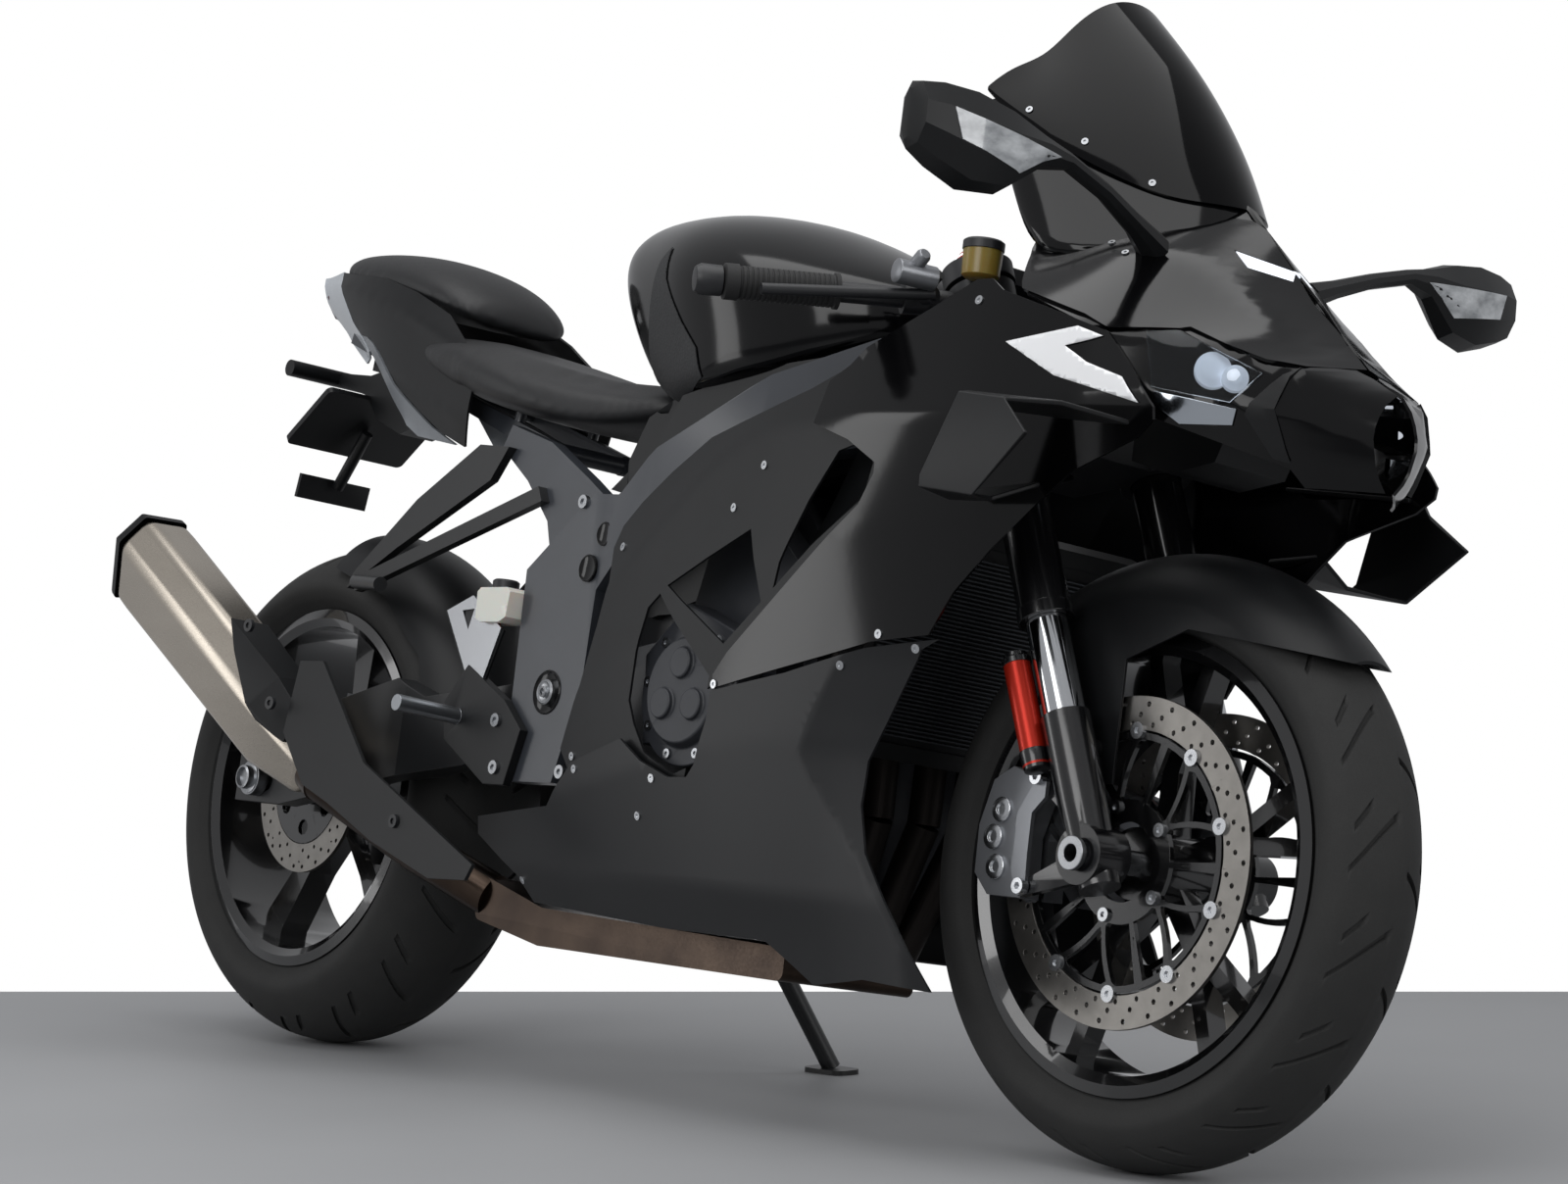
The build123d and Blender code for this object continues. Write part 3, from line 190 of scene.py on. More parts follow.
def new_finish(name, base, roughness=0.5, metallic=0.0, coat=None, specular=None, **extra):
    """A material with its Principled shader, which it returns. A coat is its weight and roughness."""
    material = bpy.data.materials.new(name)
    material.use_nodes = True
    tree = material.node_tree
    tree.nodes.clear()
    if coat:
        extra.update({"Coat Weight": coat[0], "Coat Roughness": coat[1]})
    if specular:
        extra["Specular IOR Level"] = specular
    shader = add(tree, "ShaderNodeBsdfPrincipled", {"Base Color": linear(base), "Metallic": metallic,
                                                    "Roughness": roughness, **extra})
    add(tree, "ShaderNodeOutputMaterial", links={"Surface": shader.outputs["BSDF"]})
    finishes[name] = material
    print("finish", name, base)
    return shader


def noise_on(tree, size_mm, detail, stretch):
    """Noise on the piece's own coordinates, with features of a real size."""
    place = add(tree, "ShaderNodeTexCoord")
    turn = add(tree, "ShaderNodeMapping", {"Scale": stretch}, {"Vector": place.outputs["Object"]})
    noise = add(tree, "ShaderNodeTexNoise", {"Scale": 1 / (size_mm * MM), "Detail": detail},
                {"Vector": turn.outputs["Vector"]})
    return noise.outputs["Fac"]


def grain(shader, size_mm, depth_mm, roughness=None, detail=3.0, stretch=(1, 1, 1)):
    """Fine bumps of a real size on a finish, and the same pattern in its roughness if a range is given."""
    tree = shader.id_data
    noise = noise_on(tree, size_mm, detail, stretch)
    bump = add(tree, "ShaderNodeBump", {"Distance": depth_mm * MM, "Strength": 1.0}, {"Height": noise})
    tree.links.new(bump.outputs["Normal"], shader.inputs["Normal"])
    if roughness:
        spread = add(tree, "ShaderNodeMapRange", {"To Min": roughness[0], "To Max": roughness[1]},
                     {"Value": noise})
        tree.links.new(spread.outputs["Result"], shader.inputs["Roughness"])


def mottle(shader, light, dark, size_mm, stretch=(1, 1, 1)):
    """Slow colour variation between two tones."""
    tree = shader.id_data
    noise = noise_on(tree, size_mm, 4.0, stretch)
    mix = add(tree, "ShaderNodeMix", {"data_type": "RGBA", 6: linear(dark), 7: linear(light)}, {0: noise})
    tree.links.new(mix.outputs[2], shader.inputs["Base Color"])


print("sRGB #808080 is", round(linear("#808080")[0], 3), "in linear light")

# %% [markdown]
# The bodywork is injection-moulded ABS. The upper panels carry black lacquer under a clear coat, which
# mirrors the room with only a faint orange peel. The lower panels are moulded-in satin black, where a
# fine spark-eroded texture spreads each highlight.
# %% Plastics and paints
# Lacquered ABS: nearly a mirror, bent a little by the slow orange peel of its clear coat.
shader = new_finish("gloss_black", "#050506", roughness=0.1, specular=0.3)
grain(shader, 9, 0.012, detail=1.0)
mottle(shader, "#070708", "#040405", 60)
# Textured ABS straight from the mould: a wide, soft highlight.
shader = new_finish("satin_black", "#0e0f11", roughness=0.42, specular=0.3)
grain(shader, 0.9, 0.03, (0.36, 0.5))
mottle(shader, "#121315", "#0b0c0d", 40)
# The same on the lower panels, a little smoother, and a shade paler: the paleness is painted light from the
# floor below.
shader = new_finish("satin_black_floor_lit", "#131416", roughness=0.4, specular=0.35)
grain(shader, 1.2, 0.015, (0.34, 0.46))
mottle(shader, "#17181a", "#111214", 90)
# Powder-coated aluminium and steel: dark, with a faint pebble in the highlight.
shader = new_finish("satin_metal", "#121315", roughness=0.38)
grain(shader, 1.5, 0.03, (0.32, 0.45))
mottle(shader, "#17181a", "#0f1011", 30)
# Aluminium beams in grey paint under a thin clear coat, which lays a second, softer sheen over it.
shader = new_finish("frame_grey", "#2d2f32", roughness=0.36, coat=(0.3, 0.25))
grain(shader, 1.2, 0.02, (0.3, 0.42))
mottle(shader, "#3a3d43", "#2e3136", 50)
# Cast aluminium painted black: the casting's roughness shows through the paint.
shader = new_finish("cast_black", "#16171a", roughness=0.45)
grain(shader, 1.4, 0.06, (0.38, 0.55))
# Die-cast crankcase in dark grey engine paint: dull, with uneven tone.
shader = new_finish("engine_dark", "#2b2d31", roughness=0.48)
grain(shader, 1.1, 0.05, (0.42, 0.58))
mottle(shader, "#303237", "#26282c", 25)
# Hard-anodised and lacquered fork parts: smooth, with a narrow bright line down each leg.
shader = new_finish("fork_black", "#0c0c0e", roughness=0.22, coat=(0.4, 0.1))
grain(shader, 1.0, 0.004, (0.18, 0.28))
# Anodised aluminium: a dyed oxide film, half metal and half colour.
shader = new_finish("red_anodised", "#b3240f", metallic=0.55, roughness=0.3)
grain(shader, 0.6, 0.004, (0.25, 0.36))
# The radiator in matt black heat paint.
shader = new_finish("radiator_black", "#101112", roughness=0.55)
grain(shader, 0.8, 0.03, (0.5, 0.62))
# Vinyl film under gloss: flat white that only mirrors at its edges.
shader = new_finish("white_film", "#f2f3f5", roughness=0.2, coat=(0.6, 0.05))
grain(shader, 14, 0.006, detail=1.0)
# Pale silver-white lacquer on ABS.
shader = new_finish("tail_white", "#b9bec4", roughness=0.28, coat=(0.5, 0.1))
mottle(shader, "#c4c9cf", "#aab0b7", 45)
# The same lacquer in a mid grey, a little duller.
shader = new_finish("tail_grey", "#85898e", roughness=0.35)
mottle(shader, "#8f9398", "#74787d", 40)

# %% [markdown]
# Metals show how they were worked. Brushed stainless has long fine scratches along the can, chrome on
# the fork is nearly a mirror, the exhaust is stainless that heat has turned bronze, and the ground discs
# are dull and slightly uneven in tone.
# %% Metals
# Brushed stainless sheet: the scratches run along the can and draw the highlight out.
shader = new_finish("silencer_steel", "#b9b1a5", metallic=1.0, roughness=0.28)
grain(shader, 1.2, 0.004, (0.22, 0.36), detail=6.0, stretch=(0.08, 1, 1))
mottle(shader, "#c4bcb0", "#aaa297", 60, stretch=(0.2, 1, 1))
# Stainless pipe that heat has turned bronze, in patches.
shader = new_finish("exhaust_bronze", "#3d332c", metallic=1.0, roughness=0.32)
grain(shader, 3, 0.02, (0.24, 0.42))
mottle(shader, "#574a40", "#272120", 60)
# The same pipe, darker and duller, for the headers.
shader = new_finish("header_dark", "#2b2725", metallic=0.8, roughness=0.5)
grain(shader, 3, 0.02, (0.42, 0.6))
# Thin aluminium fins, dusty and half shaded by one another.
shader = new_finish("slat_grey", "#5c5f63", metallic=0.7, roughness=0.5)
grain(shader, 1, 0.01, (0.45, 0.6))
# Hard chrome, ground and polished: the clearest mirror on the machine.
shader = new_finish("fork_chrome", "#c9cbce", metallic=1.0, roughness=0.09)
grain(shader, 0.8, 0.001, (0.06, 0.13))
# Ground stainless, uneven where the pads have swept it.
shader = new_finish("disc_steel", "#8d8a86", metallic=1.0, roughness=0.3)
grain(shader, 0.8, 0.008, (0.24, 0.4), detail=5.0)
mottle(shader, "#97948f", "#7c7975", 18)
# Machined steel, darker and duller than the screws.
shader = new_finish("sprocket_steel", "#77746f", metallic=1.0, roughness=0.38)
grain(shader, 0.9, 0.01, (0.3, 0.46))
# Oiled chain plates with a little brown grime between them.
shader = new_finish("chain_steel", "#5e5a54", metallic=1.0, roughness=0.42)
grain(shader, 1.5, 0.02, (0.34, 0.55))
mottle(shader, "#6b665f", "#47433e", 14)
# Turned and zinc-plated steel.
shader = new_finish("axle_steel", "#9fa1a4", metallic=1.0, roughness=0.28)
grain(shader, 0.7, 0.005, (0.22, 0.36))
# Stainless socket heads, bright enough to sparkle.
shader = new_finish("screw_steel", "#c4c6c9", metallic=1.0, roughness=0.22)
grain(shader, 0.6, 0.004, (0.18, 0.3))
# Hard-anodised calipers and master cylinders: silver, but dull.
shader = new_finish("caliper_silver", "#8b8d91", metallic=0.8, roughness=0.36)
grain(shader, 0.8, 0.02, (0.3, 0.45))
# Bare aluminium pegs: an even, soft sheen.
shader = new_finish("peg_alloy", "#8f9296", metallic=1.0, roughness=0.34)
grain(shader, 0.8, 0.02, (0.28, 0.42))

# %% [markdown]
# Soft and clear finishes: tyre rubber is a carbon-filled compound, matt with a slight brown bloom; grips
# are ribbed rubber; the seats have a grained vinyl cover; lamps are clear polycarbonate; the screen is
# acrylic smoked so dark that it reads as black glass.
# %% Rubber, cover and clear plastics
# Carbon-filled rubber: matt, a warm black.
shader = new_finish("tyre", "#1b1b1b", roughness=0.78)
grain(shader, 1.6, 0.05, (0.68, 0.86))
mottle(shader, "#242423", "#171717", 35)
# Softer rubber with no bloom, so it is darker than the tyres.
shader = new_finish("grip_rubber", "#111112", roughness=0.7)
grain(shader, 1.2, 0.06, (0.6, 0.8))
# Vinyl cover: its grain breaks each highlight into small flecks.
shader = new_finish("seat_leather", "#141416", roughness=0.5)
grain(shader, 2.2, 0.12, (0.42, 0.6), detail=5.0)
mottle(shader, "#191a1c", "#101012", 30)
# Stick-on rubber with a coarse moulded dimple.
shader = new_finish("knee_pad", "#1a1b1d", roughness=0.6)
grain(shader, 2.5, 0.3, (0.5, 0.7), detail=0.0)
# Smoked acrylic: it reads as black glass, so it is drawn opaque.
shader = new_finish("screen_smoke", "#020203", roughness=0.06, specular=0.15)
grain(shader, 30, 0.01, detail=0.0)
# Clear polycarbonate lens with a faint ripple.
shader = new_finish("lamp_clear", "#b4bac0", roughness=0.02, **{"Transmission Weight": 1.0, "IOR": 1.3})
grain(shader, 12, 0.02, detail=0.0)
# Metallised bucket in smoke grey, which gives the lens its depth.
shader = new_finish("lamp_dark", "#2a2d31", metallic=1.0, roughness=0.2)
grain(shader, 6, 0.03, (0.12, 0.28))
# Clear lens over facets, whose glints are painted into its colour as bright and dark flecks: painted
# reflections.
shader = new_finish("indicator_lens", "#9aa0a6", roughness=0.12, coat=(0.5, 0.03))
mottle(shader, "#dfe2e5", "#3c4146", 11, stretch=(1, 0.5, 1))
# Metallised reflector behind the low lens.
shader = new_finish("lamp_mirror", "#aeb4bb", metallic=1.0, roughness=0.14)
grain(shader, 5, 0.05, (0.08, 0.2))
# A lit lens: white, and just bright enough to glow.
shader = new_finish("lamp_lit", "#f4f8ff", roughness=0.25,
                    **{"Emission Color": linear("#eef4ff"), "Emission Strength": 0.55})
grain(shader, 4, 0.1)
# Red polycarbonate, unlit, so nearly black in its depth.
shader = new_finish("red_lens", "#4d0806", roughness=0.12)
grain(shader, 4, 0.02, detail=0.0)
# Brake fluid in a clear cup, amber and a little milky.
shader = new_finish("fluid_amber", "#7d6a2c", roughness=0.3, **{"Subsurface Weight": 0.2})
grain(shader, 3, 0.02)
# Natural polyethylene: milky, letting some light in.
shader = new_finish("bottle_white", "#d9d8cf", roughness=0.4, **{"Subsurface Weight": 0.2})
grain(shader, 3, 0.02)
# Wheels and disc carriers in black gloss lacquer.
shader = new_finish("wheel_black", "#09090a", roughness=0.18, coat=(1.0, 0.05))
grain(shader, 4, 0.01, detail=1.0)
print(len(finishes), "finishes")

# %% [markdown]
# The mechanical parts of the frame are already the right shape, so they keep their meshes and only take
# a finish, and a small bevel that gives each machined or cast edge its thin highlight.
# %% Dress the CAD nodes
slots = {entry["node"]: entry["material_slot"] for entry in record["subparts"]}
for name, node in nodes.items():
    node.data.materials.clear()
    node.data.materials.append(finishes[slots[name]])
print(len(nodes), "nodes dressed")

# %% [markdown]
# A moulded panel is a flat outline on a curved body. The body is described by long lines, each a table
# of x, height and half width. A smooth curve through each table gives the half width at any place.
# %% Reading a hull


def through(table, x):
    """The row of a table of (x, values...) at x, on a smooth curve through its rows."""
    if x <= table[0][0]:
        return list(table[0][1:])
    if x >= table[-1][0]:
        return list(table[-1][1:])
    i = max(j for j in range(len(table) - 1) if table[j][0] <= x)
    left, right = table[i], table[i + 1]
    gap = right[0] - left[0]
    t = (x - left[0]) / gap

    def slope(j, k):
        a, b = max(j - 1, 0), min(j + 1, len(table) - 1)
        return (table[b][k] - table[a][k]) / (table[b][0] - table[a][0])

    return [(2 * t ** 3 - 3 * t ** 2 + 1) * left[k] + (t ** 3 - 2 * t ** 2 + t) * slope(i, k) * gap
            + (-2 * t ** 3 + 3 * t ** 2) * right[k] + (t ** 3 - t ** 2) * slope(i + 1, k) * gap
            for k in range(1, len(left))]


def hull_width(lines, x, z):
    """Half width of a body at (x, z), between the long lines that describe it."""
    rows = sorted(tuple(through(line, x)) for line in lines)
    if z <= rows[0][0]:
        return rows[0][1]
    for (low, w0), (high, w1) in zip(rows, rows[1:]):
        if z <= high:
            return w0 + (w1 - w0) * (z - low) / max(high - low, 1e-6)
    return rows[-1][1]


print("half way from 3 to 10 the curve passes", through([(0, 0), (1, 3), (3, 10)], 2))

# %% [markdown]
# The outline is filled with even triangles, because long thin ones would show on a curved panel.
# Delaunay triangulation does that, and keeps the outline, its holes and any crease as edges.
# %% Filling an outline


def inside(polygon, x, y):
    """True if (x, y) lies inside the polygon."""
    odd = False
    for (x0, y0), (x1, y1) in zip(polygon, polygon[1:] + polygon[:1]):
        if (y0 > y) != (y1 > y) and x < (x1 - x0) * (y - y0) / (y1 - y0) + x0:
            odd = not odd
    return odd


def stepped(points, step, closed=True):
    """The same outline with a point at least every step millimetres."""
    ring = []
    ends = points[1:] + (points[:1] if closed else [])
    for (x0, y0), (x1, y1) in zip(points, ends):
        count = max(1, round(math.hypot(x1 - x0, y1 - y0) / step))
        ring += [(x0 + (x1 - x0) * k / count, y0 + (y1 - y0) * k / count) for k in range(count)]
    if not closed:
        ring.append(points[-1])
    return ring


TRIANGLE_ROW = 0.87  # height of a triangle of equal sides, for rows of points


def filled(outline, holes=(), creases=(), step=12):
    """Triangles that fill an outline, less its holes, with an edge along every crease."""
    spots, edges = [], []
    for ring, closed in [(outline, True)] + [(h, True) for h in holes] + [(c, False) for c in creases]:
        ring = stepped(list(ring), step, closed)
        start = len(spots)
        spots += ring
        edges += [(start + k, start + k + 1) for k in range(len(ring) - 1)]
        if closed:
            edges.append((start + len(ring) - 1, start))
    low = [min(p[k] for p in outline) for k in (0, 1)]
    high = [max(p[k] for p in outline) for k in (0, 1)]
    row, y = 0, low[1] + step / 2
    while y < high[1]:
        x = low[0] + step / 2 * (row % 2)
        while x < high[0]:
            if inside(list(outline), x, y) and not any(inside(list(h), x, y) for h in holes):
                spots.append((x, y))
            x += step
        y += step * TRIANGLE_ROW
        row += 1
    result = delaunay_2d_cdt([Vector(p) for p in spots], edges, [], 0, step * 0.01)
    points = [tuple(p) for p in result[0]]
    faces = []
    for face in result[2]:
        x = sum(points[v][0] for v in face) / len(face)
        y = sum(points[v][1] for v in face) / len(face)
        if inside(list(outline), x, y) and not any(inside(list(h), x, y) for h in holes):
            faces.append(list(face))
    return points, faces


print(len(filled([(0, 0), (60, 0), (60, 40), (0, 40)])[1]), "triangles fill a plate of 60 by 40 mm")

# %% [markdown]
# A side panel is drawn once, as seen from the side. Each point is set out to the hull on either side of
# the machine, the faces are turned to look outwards, and modifiers give the wall and its rounded rim.
# %% Side panels


def on_sides(points, faces, place, sides=(-1, 1)):
    """A flat pattern put on each side by place(side, a, b), with its faces pointing outwards on both."""
    spots, outward = [], []
    for side in sides:
        start = len(spots)
        spots += [place(side, a, b) for a, b in points]
        outward += [[start + v for v in face][::-side] for face in faces]
    return spots, outward


def side_skin(name, outline, lines, finish, slot=None, sides=(-1, 1), holes=(), creases=(), inset=0, wall=3,
              bevel=0.9, replaces=(), relief=None):
    """A moulded side panel: an outline in (x, z) laid on the hull that the lines describe."""
    def place(side, x, z):
        return x, side * (hull_width(lines, x, z) - inset + (relief(x, z) if relief else 0)), z

    spots, triangles = on_sides(*filled(outline, holes, creases), place, sides)
    piece = new_piece(name, spots, triangles, finish, slot=slot, replaces=replaces)
    finish_edges(piece, wall, bevel)
    return piece


print("one triangle on both sides has faces",
      on_sides([(0, 0), (1, 0), (0, 1)], [(0, 1, 2)], lambda side, a, b: (a, side, b))[1])

# %% [markdown]
# The side of the machine is one flowing hull. Seen from the front it widens to the shoulders and tucks
# in under the engine. Six long lines describe it, each a table of x, height and half width, and every
# side panel is cut from it by its own outline.
# %% Side hull lines
FLANK = [
    [(440, 180, 92), (700, 160, 112), (950, 140, 128), (1150, 130, 152), (1310, 130, 178), (1460, 300, 150)],
    [(440, 250, 120), (700, 235, 165), (950, 230, 187), (1150, 230, 190), (1310, 250, 196), (1460, 400, 160)],
    [(440, 300, 138), (700, 330, 195), (950, 380, 214), (1150, 400, 216), (1310, 420, 210), (1460, 500, 170)],
    [(440, 330, 146), (700, 430, 206), (950, 560, 228), (1150, 600, 238), (1310, 600, 226), (1460, 600, 190)],
    [(440, 360, 146), (700, 520, 206), (950, 700, 226), (1150, 720, 240), (1310, 720, 238), (1460, 735, 214)],
    [(440, 400, 136), (700, 600, 198), (950, 800, 205), (1150, 880, 212), (1310, 880, 208), (1460, 840, 196)],
]
BELLY = [(467, 294), (653, 308), (712, 357), (808, 385), (847, 362), (895, 346), (929, 347), (942, 360),
         (961, 407), (966, 439), (1088, 459), (1207, 486), (1298, 498), (1276, 487), (1252, 448),
         (1206, 374), (1204, 329), (1218, 281), (1259, 225), (1314, 150), (1210, 155), (1112, 144),
         (1040, 184), (855, 186), (571, 201), (547, 230), (460, 274)]
BELLY_CREASE = [(1174, 477), (1129, 416), (1114, 376), (1138, 347), (1219, 262), (1280, 188)]
BELLY_LEFT = [(690, 361), (712, 357), *BELLY[3:24], (700, 193)]
COWL = [(1112, 765), (1140, 780), (1160, 798), (1191, 811), (1244, 835), (1299, 863), (1320, 863),
        (1338, 850), (1395, 831), (1447, 813), (1485, 800), (1511, 777), (1535, 755), (1564, 721),
        (1564, 709), (1543, 693), (1457, 665), (1417, 633), (1368, 589), (1325, 543), (1297, 500),
        (1218, 492), (1147, 477), (970, 442), (968, 456), (991, 480), (1051, 526), (1189, 631),
        (1208, 663), (1208, 674), (1163, 699), (1103, 719)]


CREASE_RAKE, FACET_TURN = 1.6, 0.16


def belly_relief(x, z):
    """The belly's front facet turns in beyond its crease."""
    top, bottom = BELLY_CREASE[0], BELLY_CREASE[-1]
    if z >= top[1]:
        limit = top[0] + (z - top[1]) * CREASE_RAKE
    elif z <= bottom[1]:
        limit = bottom[0]
    else:
        (x0, z0), (x1, z1) = next(pair for pair in zip(BELLY_CREASE, BELLY_CREASE[1:]) if pair[1][1] < z)
        limit = x0 + (x1 - x0) * (z0 - z) / (z0 - z1)
    return -max(0, x - limit) * FACET_TURN


# The belly skins take the paler satin, whose paleness is painted light from the floor below.
belly_skin = side_skin("belly_skin_right", BELLY, FLANK, "satin_black_floor_lit", "satin_black", sides=(-1,),
                       creases=[BELLY_CREASE], relief=belly_relief, wall=3.5, bevel=1.2,
                       replaces=("belly_fairings",))
belly_left = side_skin("belly_skin_left", BELLY_LEFT, FLANK, "satin_black_floor_lit", "satin_black", sides=(1,),
                       creases=[BELLY_CREASE], relief=belly_relief, wall=3.5, bevel=1.2)
cowl_skin = side_skin("side_cowl_skins", COWL, FLANK, "gloss_black", wall=3.5, bevel=1.4,
                      replaces=("side_cowls",))

# %% [markdown]
# Machined and cast parts look false with knife edges. Each of these CAD meshes is copied, its loose
# triangles are merged into flat faces, and a Bevel modifier rounds the edges to a real radius, so every
# edge carries its own highlight. The copy then stands in for the node.
# %% Rounded copies of CAD parts
FLAT = 1.5          # degrees within which CAD triangles count as one flat face


def softened(node, radius):
    """A copy of a CAD node with merged faces and edges rounded to radius millimetres."""
    piece = nodes[node].copy()
    piece.data = nodes[node].data.copy()
    for key in list(piece.keys()):
        del piece[key]
    piece.name = node + "_finished"
    bpy.context.scene.collection.objects.link(piece)
    work = bmesh.new()
    work.from_mesh(piece.data)
    bmesh.ops.remove_doubles(work, verts=work.verts, dist=MERGE)
    bmesh.ops.dissolve_limit(work, angle_limit=math.radians(FLAT), verts=work.verts, edges=work.edges)
    work.to_mesh(piece.data)
    work.free()
    dress(piece, slots[node], body_of(nodes[node])[0], slots[node], (node,))
    finish_edges(piece, bevel=radius)
    return piece


def second_finish(piece, finish, where):
    """Gives the faces whose upright middle passes the test a second finish."""
    piece.data.materials.append(finishes[finish])
    for face in piece.data.polygons:
        face.material_index = int(where(UPRIGHT @ face.center))


for node, radius in (("main_frame", 5), ("swingarm", 4), ("subframe", 3), ("front_rim", 2), ("rear_rim", 2.5),
                     ("triple_clamp", 2), ("fork_bottoms", 2.5), ("engine_block", 4), ("front_calipers", 3),
                     ("rear_caliper", 2.5), ("plate_holder", 1.5), ("pillion_pegs", 2.5),
                     ("instrument_panel", 3), ("side_stand", 2), ("engine_covers", 3),
                     ("silencer_guard", 2.5),
                     ("hugger", 1.5), ("front_fender", 1.2), ("handlebars", 1.5), ("fork_tubes", 0.8),
                     ("fork_reservoirs", 2), ("fairing_stay", 1.5), ("radiator", 2), ("rear_sprocket", 0.5),
                     ("rear_axle", 1), ("front_axle", 1)):
    softened(node, radius)

# The foot-rest plates are black and only their pegs are bare alloy. The headers behind the front wheel
# take a darker, duller finish, and the collector under the engine is heat-tinted.
PLATE_OUTSIDE, COLLECTOR_FRONT = 170, 1002
second_finish(softened("foot_pegs", 1.5), "satin_black", lambda spot: abs(spot.y) < PLATE_OUTSIDE)
second_finish(softened("exhaust_pipes", 1.5), "header_dark", lambda spot: spot.x > COLLECTOR_FRONT)

# %% [markdown]
# The nose is a second hull, narrower and pointed, described by its own lines. A black mask closes it all
# round, and the painted top panel, with its pointed beak, is a slightly prouder skin over the mask.
# %% Nose
NOSE = [
    [(1310, 600, 200), (1451, 600, 150), (1550, 640, 110), (1640, 655, 50), (1686, 668, 6)],
    [(1310, 660, 226), (1451, 660, 195), (1550, 690, 145), (1640, 690, 84), (1686, 690, 26)],
    [(1310, 735, 238), (1451, 735, 214), (1550, 740, 166), (1640, 735, 104), (1686, 725, 36)],
    [(1310, 858, 214), (1451, 812, 204), (1550, 800, 150), (1640, 776, 90), (1686, 750, 26)],
    [(1310, 905, 150), (1451, 905, 110), (1550, 850, 80), (1640, 788, 45), (1686, 765, 12)],
    [(1310, 960, 120), (1451, 974, 2), (1550, 884, 2), (1640, 795, 2), (1686, 770, 2)],
]
NOSE_TOP = [(1354, 853), (1345, 862), (1305, 909), (1302, 937), (1282, 966), (1300, 972), (1340, 985),
            (1400, 990), (1450, 980), (1466, 969), (1568, 864), (1640, 796), (1632, 784), (1611, 785),
            (1572, 799), (1535, 815), (1529, 812), (1475, 807), (1444, 822)]
NOSE_MASK = [(1360, 848), (1420, 870), (1560, 860), (1640, 792), (1684, 768), (1684, 672), (1633, 668),
             (1628, 684), (1526, 720), (1475, 736), (1480, 790), (1440, 815)]
HEADLIGHT = [(1507, 806), (1530, 810), (1610, 771), (1593, 739), (1524, 750)]
LOW_LENS = [(1526, 746), (1597, 733), (1591, 718), (1546, 716), (1531, 730)]
CHEEK = [(1606, 728), (1622, 760), (1634, 781), (1630, 735), (1634, 687), (1622, 690)]
POSITION_LIGHT = [(1491, 916), (1533, 901), (1541, 888), (1513, 896)]
side_skin("nose_mask", NOSE_MASK, NOSE, "gloss_black", inset=5, holes=[HEADLIGHT, LOW_LENS],
          replaces=("nose_cowl",))
nose_top = side_skin("nose_top_panel", NOSE_TOP, NOSE, "gloss_black", wall=3.5, bevel=1.4,
                     holes=[POSITION_LIGHT])
side_skin("nose_cheeks", CHEEK, NOSE, "satin_black", "gloss_black", inset=-3, wall=4, bevel=1.5)

# %% [markdown]
# Each headlamp is a clear polycarbonate lens over a dark metallised bucket, with two lit projectors that
# a later cell turns. A lens that only stands in front of black looks dead, so the bucket is modelled too.
# %% Headlights
side_skin("headlight_lenses", HEADLIGHT, NOSE, "lamp_clear", inset=2, wall=2, bevel=0.6,
          replaces=("headlights",))
side_skin("position_lenses", LOW_LENS, NOSE, "lamp_mirror", "lamp_clear", inset=3, wall=2, bevel=0.8)
side_skin("position_slits", POSITION_LIGHT, NOSE, "lamp_lit", "lamp_clear", inset=2, wall=2, bevel=0.4)
BUCKET_TAPER, BUCKET_BACK, POLE_BACK = 0.35, 22, 32
RIM_INSET, BACK_INSET, POLE_INSET = 5, 34, 44
rim = stepped(HEADLIGHT, 14)
count = len(rim)
centre_x, centre_z = [sum(p[k] for p in rim) / count for k in (0, 1)]
spots, faces = [], []
for side in (-1, 1):
    start = len(spots)
    spots += [(x, side * (hull_width(NOSE, x, z) - RIM_INSET), z) for x, z in rim]
    spots += [(x + (centre_x - x) * BUCKET_TAPER - BUCKET_BACK, side * (hull_width(NOSE, x, z) - BACK_INSET),
               z + (centre_z - z) * BUCKET_TAPER) for x, z in rim]
    pole_width = hull_width(NOSE, centre_x, centre_z) - POLE_INSET
    spots.append((centre_x - POLE_BACK, side * pole_width, centre_z))
    for k in range(count):
        a, b = start + k, start + (k + 1) % count
        faces += [(a, b, b + count, a + count), (a + count, b + count, start + 2 * count)]
tidy_normals(new_piece("headlight_buckets", spots, faces, "lamp_dark", slot="lamp_clear"))

# %% [markdown]
# Free forms such as the screen, the tank and the seats are lofts: rings of points, one after another,
# joined by four-sided faces that a Subdivision Surface modifier then smooths.
# %% Lofts


def loft(name, rings, finish, slot=None, replaces=(), subdivide=2, closed=True, caps=True, mirror=False,
         sharp=SHARP, bevel=0, wall=0, segments=2):
    """A skin through rings of points, each ring the same count."""
    count = len(rings[0])
    spots = [p for ring in rings for p in ring]
    faces = []
    last = count if closed else count - 1
    for r in range(len(rings) - 1):
        for k in range(last):
            a, b = r * count + k, r * count + (k + 1) % count
            faces.append((a, b, b + count, a + count))
    if caps:
        faces.append(tuple(range(count))[::-1])
        faces.append(tuple(range((len(rings) - 1) * count, len(rings) * count)))
    if mirror:
        start = len(spots)
        spots += [(x, -y, z) for x, y, z in spots]
        faces += [tuple(start + v for v in face)[::-1] for face in faces]
    piece = new_piece(name, spots, faces, finish, slot=slot, replaces=replaces, sharp=sharp)
    tidy_normals(piece)
    finish_edges(piece, wall, bevel, subdivide, segments=segments)
    return piece

